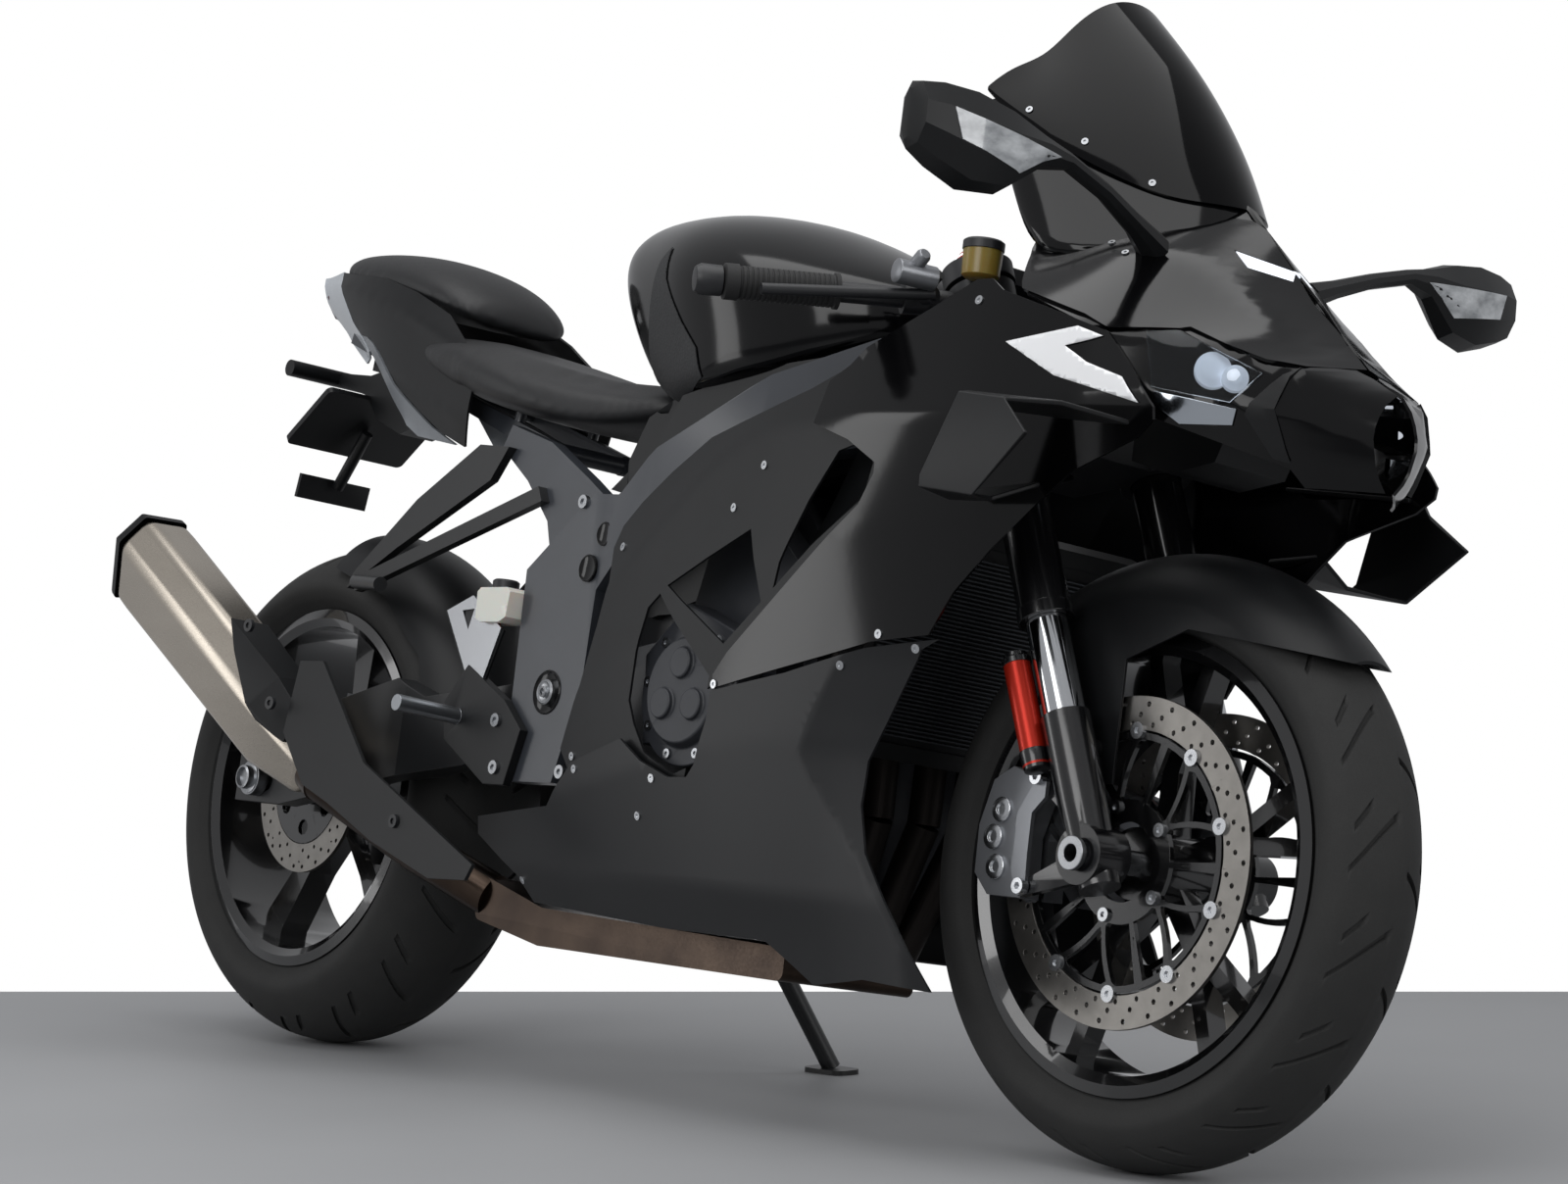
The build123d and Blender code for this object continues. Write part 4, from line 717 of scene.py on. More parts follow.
# %% [markdown]
# The windscreen is a double-bubble moulding: a steep centre with two lower wings swept back to the
# mirrors. Four rows of points across it, from the base to the top edge, and subdivision between them
# give the bubble without a facet.
# %% Windscreen
SCREEN_ROWS = [
    [(1466, 0, 971), (1447, 46, 968), (1408, 84, 970), (1326, 124, 1010), (1250, 140, 1050),
     (1205, 144, 1086)],
    [(1418, 0, 1050), (1404, 52, 1044), (1370, 96, 1030), (1306, 128, 1036), (1248, 141, 1062),
     (1205, 144, 1088)],
    [(1352, 0, 1139), (1340, 48, 1130), (1310, 92, 1104), (1270, 121, 1084), (1236, 136, 1082),
     (1205, 144, 1090)],
    [(1270, 0, 1213), (1264, 42, 1204), (1254, 76, 1172), (1240, 100, 1130), (1222, 126, 1116),
     (1205, 144, 1092)],
]


def whole_row(row):
    """A row right across the machine from its left half, which starts on the middle."""
    return [(x, -y, z) for x, y, z in reversed(row)] + row[1:]


screen = loft("smoked_windscreen", [whole_row(row) for row in SCREEN_ROWS], "screen_smoke",
              replaces=("windscreen",), closed=False, caps=False, subdivide=3, sharp=80, wall=3.5, bevel=1)
SKIRT_LOW = [(1468, 0, 958), (1450, 60, 940), (1414, 112, 906), (1352, 152, 896), (1306, 152, 912),
             (1268, 142, 960)]
SKIRT_TOP = [(x - 9, y * 0.97, z + 9) for x, y, z in SCREEN_ROWS[0]]
rows = [[tuple(Vector(a).lerp(Vector(b), share)) for a, b in zip(SKIRT_TOP, SKIRT_LOW)]
        for share in (0, 0.5, 1)]
loft("screen_skirt", [whole_row(row) for row in rows], "gloss_black", closed=False, caps=False, wall=3,
     sharp=80)

# %% [markdown]
# Between the side cowl and the frame sits an inner panel, moulded in the lower panels' satin black. It
# has two openings: a triangular one over the engine mount and a tall one over the clutch cover.
# %% Inner side panels
INNER = [(735, 600), (747, 625), (779, 651), (829, 683), (895, 718), (986, 739), (1069, 760),
         (1112, 775), (1200, 790), (1210, 690), (1180, 620), (1100, 565), (1033, 519), (985, 470),
         (946, 440), (911, 338), (877, 340), (829, 355), (789, 380), (690, 352), (672, 373), (708, 444),
         (729, 510), (742, 560)]
MOUNT_WINDOW = [(1004, 612), (1033, 534), (972, 490), (862, 554), (930, 583)]
COVER_WINDOW = [(850, 545), (830, 530), (816, 482), (808, 428), (820, 402), (842, 372), (894, 350),
                (920, 358), (943, 409), (951, 456), (889, 509)]
DUCT_MOUTH = [(1184, 700), (1196, 675), (1186, 640), (1110, 590), (1052, 548), (1060, 575), (1100, 640),
              (1140, 690)]
inner_skin = side_skin("inner_side_panels", INNER, FLANK, "satin_black", inset=9, bevel=1.4,
                       holes=[MOUNT_WINDOW, COVER_WINDOW, DUCT_MOUTH])
DUCT_BACK = [(1200, 720), (1214, 660), (1190, 600), (1110, 560), (1040, 530), (1050, 590), (1085, 640),
             (1130, 715)]
side_skin("duct_backs", DUCT_BACK, FLANK, "satin_black", inset=52)

# %% [markdown]
# The tank is pressed steel under black lacquer: a rounded crown that dives to the seat, flanks cut in for
# the knees. It is a loft of rings, each a table row, smoothed by subdivision.
# %% Fuel tank
TANK = [
    # x, then (half width, height) from the bottom edge up to the crown
    (514, (10, 950), (16, 958), (22, 972), (20, 985), (12, 993), (0, 996)),
    (534, (40, 905), (60, 925), (76, 955), (72, 985), (40, 1005), (0, 1009)),
    (575, (56, 862), (88, 885), (112, 930), (108, 975), (66, 1015), (0, 1024)),
    (630, (70, 806), (104, 830), (134, 890), (136, 955), (92, 1012), (0, 1031)),
    (695, (96, 776), (132, 800), (146, 862), (164, 942), (116, 1006), (0, 1031)),
    (760, (140, 778), (156, 800), (166, 860), (188, 925), (130, 1000), (0, 1025)),
    (850, (150, 792), (166, 812), (176, 865), (190, 912), (126, 982), (0, 1008)),
    (935, (146, 802), (158, 822), (164, 868), (172, 900), (106, 950), (0, 976)),
    (1010, (104, 826), (116, 840), (122, 868), (120, 892), (78, 922), (0, 940)),
    (1060, (50, 850), (60, 858), (66, 874), (60, 888), (40, 900), (0, 906)),
]


def half_ring(x, half, keel):
    """A ring at x from its right half of (half width, height), closed by a point below its lower edge."""
    right = [(x, -w, z) for w, z in half]
    left = [(x, w, z) for w, z in reversed(half[:-1])]
    return right + left + [(x, 0, half[0][1] - keel)]


tank = loft("fuel_tank_shell", [half_ring(x, half, 4) for x, *half in TANK], "gloss_black",
            replaces=("fuel_tank",), subdivide=3, sharp=80)

# %% [markdown]
# The rubbery knee pads lie on the tank's flanks, and a chevron of white film on each cowl. Rays cast
# sideways onto the finished piece find where each point of a patch lands, so it follows the surface.
# %% Patches laid on a surface
BESIDE_ALL, AHEAD_OF_ALL = 500, 1700


def drop_onto(piece):
    """A function that casts a ray from one upright point towards another.

    It gives where the ray lands on the piece, the normal there and the ray's own direction."""
    bpy.context.view_layer.update()
    tree = BVHTree.FromObject(piece, bpy.context.evaluated_depsgraph_get())

    def drop(source, toward):
        source = PARKED @ Vector(source)
        aim = (PARKED @ Vector(toward) - source).normalized()
        spot, normal, _, _ = tree.ray_cast(source, aim)
        return spot, normal, aim

    return drop


def laid_on(name, outline, onto, finish, slot, lift=0.6, wall=1.5, bevel=0.6, step=9, from_front=False):
    """A thin patch dropped onto a finished piece: an (x, z) outline from the side, or (y, z) from ahead."""
    drop = drop_onto(onto)

    def place(side, a, z):
        ray = ((AHEAD_OF_ALL, side * a, z), (0, side * a, z)) if from_front else (
            (a, side * BESIDE_ALL, z), (a, 0, z))
        spot, _, aim = drop(*ray)
        return tuple(spot - aim * lift * MM) if spot is not None else None

    spots, triangles = on_sides(*filled(outline, step=step), place)
    triangles = [t for t in triangles if all(spots[v] is not None for v in t)]
    keep = sorted({v for t in triangles for v in t})
    order = {v: k for k, v in enumerate(keep)}
    piece = new_piece(name, [spots[v] for v in keep], [[order[v] for v in t] for t in triangles], finish,
                      slot=slot, parked=False)
    finish_edges(piece, wall, bevel, outward=1)
    return piece


KNEE_PAD = [(716, 955), (728, 915), (768, 862), (796, 832), (800, 800), (757, 786), (700, 786), (650, 800),
            (662, 820), (677, 872), (700, 940)]
laid_on("knee_pads", KNEE_PAD, tank, "knee_pad", "satin_black")
CHEVRON = [(1444, 808), (1360, 794), (1430, 757), (1547, 725), (1520, 752), (1466, 770), (1434, 788),
           (1480, 796)]
laid_on("white_chevrons", CHEVRON, cowl_skin, "white_film", "gloss_black", lift=1.3, wall=0.4, bevel=0,
        step=6)

# %% [markdown]
# The winglets are hollow boxes: a top plate, an outer plate and a bottom plate in one loop, open at the
# front and back so that air passes through.
# %% Winglets
WING_LOOP = [
    # front edge, back edge of the plate at each corner of the loop
    ((1540, 196, 706), (1352, 214, 726)),
    ((1500, 268, 716), (1362, 266, 733)),
    ((1470, 313, 712), (1400, 310, 722)),
    ((1517, 325, 676), (1372, 321, 641)),
    ((1446, 318, 620), (1366, 316, 632)),
    ((1412, 262, 627), (1350, 262, 630)),
    ((1420, 206, 652), (1345, 208, 648)),
]
spots = [p for pair in WING_LOOP for p in pair]
faces = [(2 * k, 2 * k + 1, 2 * k + 3, 2 * k + 2) for k in range(len(WING_LOOP) - 1)]
faces += [tuple(len(spots) + v for v in face)[::-1] for face in faces]
spots += [(x, -y, z) for x, y, z in spots]
winglets = new_piece("winglet_loops", spots, faces, "satin_black", slot="gloss_black",
                     replaces=("winglets",), sharp=30)
finish_edges(winglets, wall=5, bevel=1.6, outward=0)

# %% [markdown]
# Each mirror is a wedge-shaped shell, deep at its outer end and drawn out to a slim arm, with an
# indicator lens laid on its front face. Its facets are real, so it isn't subdivided.
# %% Mirrors
MIRROR = [
    # y, x centre, z centre, half depth along x, half height
    (-444, 1432, 962, 8, 26), (-440, 1436, 962, 18, 34), (-416, 1438, 959, 24, 42), (-376, 1442, 953, 27, 49),
    (-332, 1448, 951, 24, 42), (-290, 1453, 960, 17, 17), (-256, 1456, 959, 10, 9), (-200, 1455, 942, 10, 9),
    (-150, 1450, 922, 12, 11), (-112, 1444, 906, 20, 16),
]
MIRROR_SECTION = ((0.9, 0.35), (0.35, 0.9), (-0.5, 0.95), (-1, 0.5), (-1, -0.6), (-0.4, -1), (0.45, -0.85),
                  (0.95, -0.3))
rings = [[(x + depth * a, y, z + height * b) for a, b in MIRROR_SECTION] for y, x, z, depth, height in MIRROR]
mirror_shells = loft("mirror_shells", rings, "satin_black", replaces=("mirrors",), subdivide=0, mirror=True,
                     sharp=24)
MIRROR_LENS = [(412, 973), (275, 957), (300, 946), (325, 929), (401, 944)]
laid_on("mirror_indicator_lenses", MIRROR_LENS, mirror_shells, "indicator_lens", "satin_black", lift=1.0,
        wall=1.2, bevel=0.4, step=7, from_front=True)

# %% [markdown]
# A sport tyre is round in section so that it can lean, and its grooves are short curved sipes that
# sweep from the crown to the shoulder. The mesh is laid out so that its own columns follow the sipes:
# where a column lies in a groove it is pressed in, so the grooves are real and still need few faces.
# %% Tyres
ROWS_ACROSS = 88        # rows of points from bead to bead
GROOVE_DEPTH, GROOVE_EDGE = 4.2, 1.1
GROOVE_END = 0.03       # share of the half section over which a groove runs out
SWEEP_CURVE, SHOULDER_LEAN = 1.4, 0.45


def tyre(node, hub, profile, pitches, sweep, grooves, body):
    """A tyre from a table of (share, y, r) across half of it and of grooves (phase, width, from, to).

    The other half has the same grooves half a pitch further on."""
    rows = []
    for k in range(ROWS_ACROSS + 1):
        s = -1 + 2 * k / ROWS_ACROSS
        y, r = through(profile, abs(s))
        rows.append((s, math.copysign(y, s), r))
    pitch_mm = 2 * math.pi * hub.z / pitches
    grooves = [(phase + shift, *rest, side) for shift, side in ((0, 1), (0.5, -1))
               for phase, *rest in grooves]
    marks = {k / 8: None for k in range(8) if all(abs(k / 8 - g[0]) > g[1] / pitch_mm for g in grooves)}
    edge = GROOVE_EDGE / pitch_mm
    for groove in grooves:
        half = groove[1] / 2 / pitch_mm
        for offset, inner in ((-half - edge, False), (-half, True), (half, True), (half + edge, False)):
            marks[round((groove[0] + offset) % 1, 5)] = groove if inner else None
    columns = sorted(marks.items())
    spots, faces = [], []
    for p in range(pitches):
        for phase, groove in columns:
            for s, y, r in rows:
                depth = 0
                if groove:
                    _, _, low, high, side = groove
                    if side * s > 0 and low < abs(s) < high:
                        to_end = min(abs(s) - low, high - abs(s))
                        depth = GROOVE_DEPTH * min(1, to_end / GROOVE_END)
                turn = (p + phase) / pitches * 2 * math.pi + sweep * abs(s) ** SWEEP_CURVE
                lean = abs(s) ** 2 * SHOULDER_LEAN
                radius = r - depth * (1 - lean)
                across = y - math.copysign(depth * lean, y)
                spots.append((hub.x + radius * math.cos(turn), across, hub.z + radius * math.sin(turn)))
    n, total = len(rows), pitches * len(columns)
    for c in range(total):
        d = (c + 1) % total
        for k in range(n - 1):
            faces.append((c * n + k, c * n + k + 1, d * n + k + 1, d * n + k))
        faces.append((c * n + n - 1, c * n, d * n, d * n + n - 1))
    piece = new_piece(node + "_sipes", spots, faces, "tyre", body, replaces=(node,), sharp=40)
    tidy_normals(piece)


FRONT_PROFILE = [(0, 0, 300), (0.2, 19, 297), (0.4, 37, 289), (0.58, 51, 277), (0.68, 57.5, 266),
                 (0.74, 60, 257), (0.84, 57, 244), (0.93, 50, 235), (1, 44.5, 228)]
REAR_PROFILE = [(0, 0, 320), (0.2, 32, 315), (0.4, 60, 302), (0.56, 80, 285), (0.68, 92, 268),
                (0.75, 95, 257), (0.85, 91, 244), (0.93, 84, 236), (1, 76.5, 228)]
FRONT_GROOVES = [(0.12, 6.5, 0.06, 0.58), (0.45, 8, 0.34, 0.54)]
REAR_GROOVES = [(0.12, 7, 0.08, 0.48), (0.45, 9, 0.3, 0.5)]
tyre("front_tyre", FRONT_HUB, FRONT_PROFILE, 17, -0.42, FRONT_GROOVES, "front_wheel")
tyre("rear_tyre", REAR_HUB, REAR_PROFILE, 16, 0.42, REAR_GROOVES, "rear_wheel")

# %% [markdown]
# A floating brake disc is a ground steel ring drilled full of small holes. The ring is drawn unrolled
# as one straight sector, filled with its holes cut, and then wrapped round the hub as many times as it
# repeats.
# %% Brake discs
HOLE_TURN = 0.4         # radians that a hole's first corner is turned by


def wrapped(name, hub, body, y, thick, r_in, r_out, repeats, finish, holes=(), hole=(2.6, 8), windows=(),
            step=6, replaces=()):
    """A ring of flat sectors wrapped round the hub. Holes are (angle share, radius) places in a sector.

    Hole gives their radius and corners. Windows are outlines of (angle share, radius) corners."""
    span = 2 * math.pi / repeats
    width = span * ((r_in + r_out) / 2)
    size, corners = hole
    turns = [2 * math.pi * k / corners + HOLE_TURN for k in range(corners)]
    cuts = [[(share * width + size * math.cos(turn), radius + size * math.sin(turn)) for turn in turns]
            for share, radius in holes]
    cuts += [[(share * width, radius) for share, radius in window] for window in windows]
    points, faces = filled([(0, r_in), (width, r_in), (width, r_out), (0, r_out)], cuts, step=step)
    spots, triangles = [], []
    for j in range(repeats):
        start = len(spots)
        for u, r in points:
            turn = (j + u / width) * span
            spots.append((hub.x + r * math.cos(turn), y, hub.z + r * math.sin(turn)))
        triangles += [[start + v for v in face] for face in faces]
    piece = new_piece(name, spots, triangles, finish, body, replaces=replaces)
    tidy_normals(piece, 0.0001)
    finish_edges(piece, wall=thick, bevel=0.4, outward=0, segments=1)


DISC_OFFSET = 62
DRILLING = list(zip((0.07, 0.18, 0.29, 0.4, 0.5, 0.61, 0.73, 0.83, 0.94), (157, 146, 137) * 3))
HALF_WINDOW = [(0.035, 62), (0.4, 62), (0.43, 66), (0.24, 118), (0.2, 122), (0.035, 122)]
CARRIER_WINDOWS = [[(0.5, 69), (0.54, 74), (0.71, 118), (0.67, 122), (0.33, 122), (0.29, 118), (0.46, 74)],
                   HALF_WINDOW, [(1 - share, radius) for share, radius in reversed(HALF_WINDOW)]]
for label, y in (("right", -DISC_OFFSET), ("left", DISC_OFFSET)):
    wrapped("front_disc_ring_" + label, FRONT_HUB, "front_wheel", y, 5, 131, 165, 10, "disc_steel", DRILLING,
            replaces=("front_discs",) if y < 0 else ())
    wrapped("front_disc_carrier_" + label, FRONT_HUB, "front_wheel", y, 6, 40, 129, 5, "wheel_black",
            windows=CARRIER_WINDOWS, step=9)
REAR_DRILLING = [(0.12, 103), (0.3, 92), (0.5, 103), (0.7, 92), (0.88, 103), (0.1, 82), (0.5, 82)]
wrapped("rear_disc_ring", REAR_HUB, "rear_wheel", -75, 5, 74, 110, 8, "disc_steel", REAR_DRILLING,
        replaces=("rear_disc",))
wrapped("rear_disc_carrier", REAR_HUB, "rear_wheel", -75, 6, 22, 73, 6, "wheel_black", [(0.5, 52)], (10, 10),
        step=8)

# %% [markdown]
# Screws, bobbins and bolts repeat all over the machine. One Geometry Nodes tree puts a turned head with a
# hexagon socket at every point of a small mesh, faced along the normal stored on each point. The tree
# realises the instances and sets the metal, and the result is baked to a plain mesh for each body.
# %% Screw heads


def socket_head_tree():
    """Geometry Nodes: a socket-head screw at each point, of given radius, height and socket."""
    tree = bpy.data.node_groups.new("socket heads", "GeometryNodeTree")
    face = tree.interface
    face.new_socket("Points", in_out="INPUT", socket_type="NodeSocketGeometry")
    sizes = {}
    for label, value in (("Head radius", 0.005), ("Head height", 0.003), ("Socket radius", 0.0025)):
        sizes[label] = face.new_socket(label, in_out="INPUT", socket_type="NodeSocketFloat")
        sizes[label].default_value = value
    finish_socket = face.new_socket("Finish", in_out="INPUT", socket_type="NodeSocketMaterial")
    face.new_socket("Screws", in_out="OUTPUT", socket_type="NodeSocketGeometry")
    given = add(tree, "NodeGroupInput")
    head = add(tree, "GeometryNodeMeshCylinder", {"Vertices": 20},
               {"Radius": given.outputs["Head radius"], "Depth": given.outputs["Head height"]})
    socket = add(tree, "GeometryNodeMeshCylinder", {"Vertices": 6},
                 {"Radius": given.outputs["Socket radius"], "Depth": given.outputs["Head height"]})
    half = add(tree, "ShaderNodeMath", {"operation": "MULTIPLY", 1: 0.6}, {0: given.outputs["Head height"]})
    rise = add(tree, "ShaderNodeCombineXYZ", links={"Z": half.outputs[0]})
    lifted = add(tree, "GeometryNodeTransform", links={"Geometry": socket.outputs["Mesh"],
                                                       "Translation": rise.outputs[0]})
    drilled = add(tree, "GeometryNodeMeshBoolean", {"operation": "DIFFERENCE"},
                  {"Mesh 1": head.outputs["Mesh"], "Mesh 2": lifted.outputs["Geometry"]})
    facing = add(tree, "GeometryNodeInputNamedAttribute", {"data_type": "FLOAT_VECTOR", "Name": "facing"})
    turn = add(tree, "FunctionNodeAlignRotationToVector", {"axis": "Z"},
               {"Vector": facing.outputs["Attribute"]})
    spread = add(tree, "GeometryNodeInstanceOnPoints", links={
        "Points": given.outputs["Points"], "Instance": drilled.outputs["Mesh"],
        "Rotation": turn.outputs["Rotation"]})
    real = add(tree, "GeometryNodeRealizeInstances", links={"Geometry": spread.outputs["Instances"]})
    metal = add(tree, "GeometryNodeSetMaterial", links={"Geometry": real.outputs["Geometry"],
                                                        "Material": given.outputs["Finish"]})
    add(tree, "NodeGroupOutput", links={"Screws": metal.outputs["Geometry"]})
    names = {label: socket.identifier for label, socket in sizes.items()}
    names["Finish"] = finish_socket.identifier
    return tree, names


screw_tree, screw_inputs = socket_head_tree()
print("the", screw_tree.name, "tree takes", list(screw_inputs))

# %% [markdown]
# A node tree is run on a few points, and what it makes is kept as a plain mesh on one body, because the
# export drops instances and live trees.
# %% Baking a node tree


def baked(name, points, tree, inputs, body, attributes=None):
    """Runs a Geometry Nodes tree on a few points and keeps the result as a plain piece."""
    mesh = bpy.data.meshes.new(name + "_seed")
    mesh.from_pydata(points, [], [])
    for label, values in (attributes or {}).items():
        layer = mesh.attributes.new(label, "FLOAT_VECTOR", "POINT")
        layer.data.foreach_set("vector", [c for v in values for c in v])
    seed = placed(name + "_seed", mesh)
    step = seed.modifiers.new("nodes", "NODES")
    step.node_group = tree
    for identifier, value in inputs.items():
        step[identifier] = value
    bpy.context.view_layer.update()
    graph = bpy.context.evaluated_depsgraph_get()
    plain = bpy.data.meshes.new_from_object(seed.evaluated_get(graph), depsgraph=graph)
    bpy.data.objects.remove(seed)
    piece = placed(name, plain)
    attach(piece, body)
    print(name, len(plain.polygons), "faces")
    return piece

# %% [markdown]
# Each set of screws stands on points with a direction: on a bolt circle, at measured places, or where a
# ray meets a panel.
# %% Setting screws


def heads(name, points, facing, size, finish, body):
    """Socket heads at parked points. A size is the head's radius and height and the socket's radius."""
    labels = ("Head radius", "Head height", "Socket radius")
    inputs = {screw_inputs[label]: value * MM for label, value in zip(labels, size)}
    inputs[screw_inputs["Finish"]] = finishes[finish]
    return baked(name, points, screw_tree, inputs, body, {"facing": facing})


def screws(name, rows, size, finish, body="chassis"):
    """Socket heads at rows of (place, outward direction), in upright millimetres."""
    turn = PARKED.to_3x3()
    return heads(name, [tuple(PARKED @ Vector(place)) for place, _ in rows],
                 [tuple((turn @ Vector(way)).normalized()) for _, way in rows], size, finish, body)


def screws_on(name, spots, onto, size=(4.8, 3, 2.2), finish="screw_steel", sides=(-1, 1)):
    """Socket heads where (x, z) places meet a finished piece from the side, square to its surface."""
    drop = drop_onto(onto)
    points, facing = [], []
    for x, z in spots:
        for side in sides:
            spot, normal, aim = drop((x, side * BESIDE_ALL, z), (x, 0, z))
            if spot is not None:
                points.append(tuple(spot))
                facing.append(tuple(normal if normal.dot(aim) < 0 else -normal))
    return heads(name, points, facing, size, finish, "chassis")


def both_sides(rows):
    """Rows of (place, direction, ...) and their mirror images across the machine."""
    return [(Vector((p[0], side * p[1], p[2])), Vector((d[0], side * d[1], d[2])), *rest)
            for side in (1, -1) for p, d, *rest in rows]


def bolt_circle(centre, radius, count, first):
    """Rows for screws on a circle that faces outward, the first at an angle in degrees."""
    turns = [math.radians(first + 360 / count * k) for k in range(count)]
    return [(centre + Vector((math.cos(turn), 0, math.sin(turn))) * radius, OUTWARD) for turn in turns]


DISC_FACE = FRONT_HUB + OUTWARD * DISC_OFFSET
screws("disc_bobbins", both_sides(bolt_circle(DISC_FACE + OUTWARD * 3, 130, 10, 18)), (8.5, 5, 3.5),
       "screw_steel", "front_wheel")
screws("disc_carrier_screws", both_sides(bolt_circle(DISC_FACE + OUTWARD * 4, 56, 5, 36)), (7, 5, 3.2),
       "screw_steel", "front_wheel")
BELLY_SCREWS = [(1174, 468), (1270, 488), (720, 350), (868, 344), (840, 303)]
screws_on("cowl_screws", [(972, 446), (1230, 500), (1310, 840)], cowl_skin)
screws_on("belly_screws", BELLY_SCREWS + [(560, 225)], belly_skin, sides=(-1,))
screws_on("belly_screws_left", BELLY_SCREWS, belly_left, sides=(1,))
screws_on("inner_panel_screws", [(968, 636), (1014, 680), (820, 366), (758, 600), (700, 365)], inner_skin)

# %% [markdown]
# The silencer is a rolled and welded can of six broad faces with soft corners, narrow where the link
# pipe enters, with a dark end cap. Moulded heat guards cover its front and the link pipe.
# %% Silencer
SILENCER_FOOT, SILENCER_TIP = Vector((192, -196, 330)), Vector((-236, -232, 600))
CAN_CORNERS = ((-52, -20), (-30, -62), (34, -62), (52, -16), (44, 50), (-22, 62))
can_axis = (SILENCER_TIP - SILENCER_FOOT).normalized()
can_up = can_axis.cross(OUTWARD).normalized()
can_side = can_up.cross(can_axis).normalized()


def can_loft(name, rows, finish, **shape):
    """A loft along the can's axis through rows of (share of its length, scale of its six corners)."""
    rings = [[tuple(SILENCER_FOOT.lerp(SILENCER_TIP, share) + (can_side * a + can_up * b) * scale)
              for a, b in CAN_CORNERS] for share, scale in rows]
    return loft(name, rings, finish, subdivide=0, sharp=50, **shape)


can_loft("silencer_can", [(0, 0.6), (0.03, 0.66), (0.2, 0.96), (0.9, 1.0), (0.965, 0.985)], "silencer_steel",
         replaces=("silencer",), bevel=12, segments=5)
can_loft("silencer_end_cap", [(0.966, 1.0), (0.99, 0.99), (1.0, 0.86), (1.0, 0.5), (0.93, 0.46)],
         "satin_black", caps=False, bevel=4, segments=3)

# %% [markdown]
# The seats are moulded foam under a stretched cover. A loft gives each pad its seat-pan outline, a short
# cloth simulation with pressure inside crowns the foam, and a smoothing pass pulls the cover taut.
# %% Seats
VOXEL, FRAMES = 0.006, 20
PRESSURE, BENDING, STRETCHING = 2.5, 12, 40
MOST_MM = 7             # the furthest that the cover may move


def puffed(piece):
    """Voxel remesh, then a short pressurised cloth run, capped so that no point moves too far."""
    bpy.context.view_layer.objects.active = piece
    for other in bpy.context.selected_objects:
        other.select_set(False)
    piece.select_set(True)
    graph = bpy.context.evaluated_depsgraph_get()
    plain = bpy.data.meshes.new_from_object(piece.evaluated_get(graph), depsgraph=graph)
    piece.modifiers.clear()
    piece.data = plain
    remesh = piece.modifiers.new("voxels", "REMESH")
    remesh.mode, remesh.voxel_size = "VOXEL", VOXEL
    bpy.ops.object.modifier_apply(modifier=remesh.name)
    start = [v.co.copy() for v in piece.data.vertices]
    cloth = piece.modifiers.new("cloth", "CLOTH")
    cloth.settings.use_pressure = True
    cloth.settings.uniform_pressure_force = PRESSURE
    cloth.settings.effector_weights.gravity = 0
    cloth.settings.quality = 5
    cloth.settings.bending_stiffness = BENDING
    cloth.settings.tension_stiffness = cloth.settings.compression_stiffness = STRETCHING
    scene = bpy.context.scene
    for step in range(1, FRAMES + 1):
        scene.frame_set(step)
    bpy.ops.object.modifier_apply(modifier=cloth.name)
    scene.frame_set(1)
    for vertex, old in zip(piece.data.vertices, start):
        move = vertex.co - old
        if move.length > MOST_MM * MM:
            vertex.co = old + move.normalized() * MOST_MM * MM
    relax = piece.modifiers.new("taut cover", "SMOOTH")
    relax.factor, relax.iterations = 0.5, 8
    bpy.ops.object.modifier_apply(modifier=relax.name)
    for face in piece.data.polygons:
        face.use_smooth = True
    smooth = piece.modifiers.new("smooth form", "SUBSURF")
    smooth.levels = smooth.render_levels = 1


RIDER = [
    # x, then (half width, height) from the pan's lower edge to the crown
    (142, (70, 878), (88, 882), (94, 894), (74, 904), (0, 906)),
    (180, (98, 856), (116, 862), (122, 880), (96, 902), (0, 904)),
    (245, (108, 834), (128, 842), (134, 866), (104, 891), (0, 890)),
    (330, (118, 804), (140, 814), (148, 846), (112, 870), (0, 862)),
    (420, (116, 786), (138, 796), (144, 824), (104, 846), (0, 838)),
    (510, (92, 770), (112, 780), (120, 804), (84, 824), (0, 822)),
    (585, (62, 776), (78, 784), (84, 800), (60, 818), (0, 820)),
    (640, (40, 788), (50, 792), (56, 802), (40, 816), (0, 820)),
]
PILLION = [
    (-120, (38, 996), (58, 1002), (66, 1014), (46, 1029), (0, 1034)),
    (-40, (70, 972), (92, 980), (98, 1000), (72, 1028), (0, 1036)),
    (60, (82, 950), (104, 960), (110, 984), (80, 1016), (0, 1027)),
    (140, (82, 936), (100, 944), (106, 966), (78, 996), (0, 1006)),
    (195, (70, 920), (88, 928), (94, 944), (68, 970), (0, 980)),
    (228, (54, 912), (68, 918), (74, 928), (52, 942), (0, 948)),
]
for node, table in (("rider_seat", RIDER), ("pillion_seat", PILLION)):
    puffed(loft(node + "_pad", [half_ring(x, half, 2) for x, *half in table], "seat_leather",
                replaces=(node,), sharp=80))

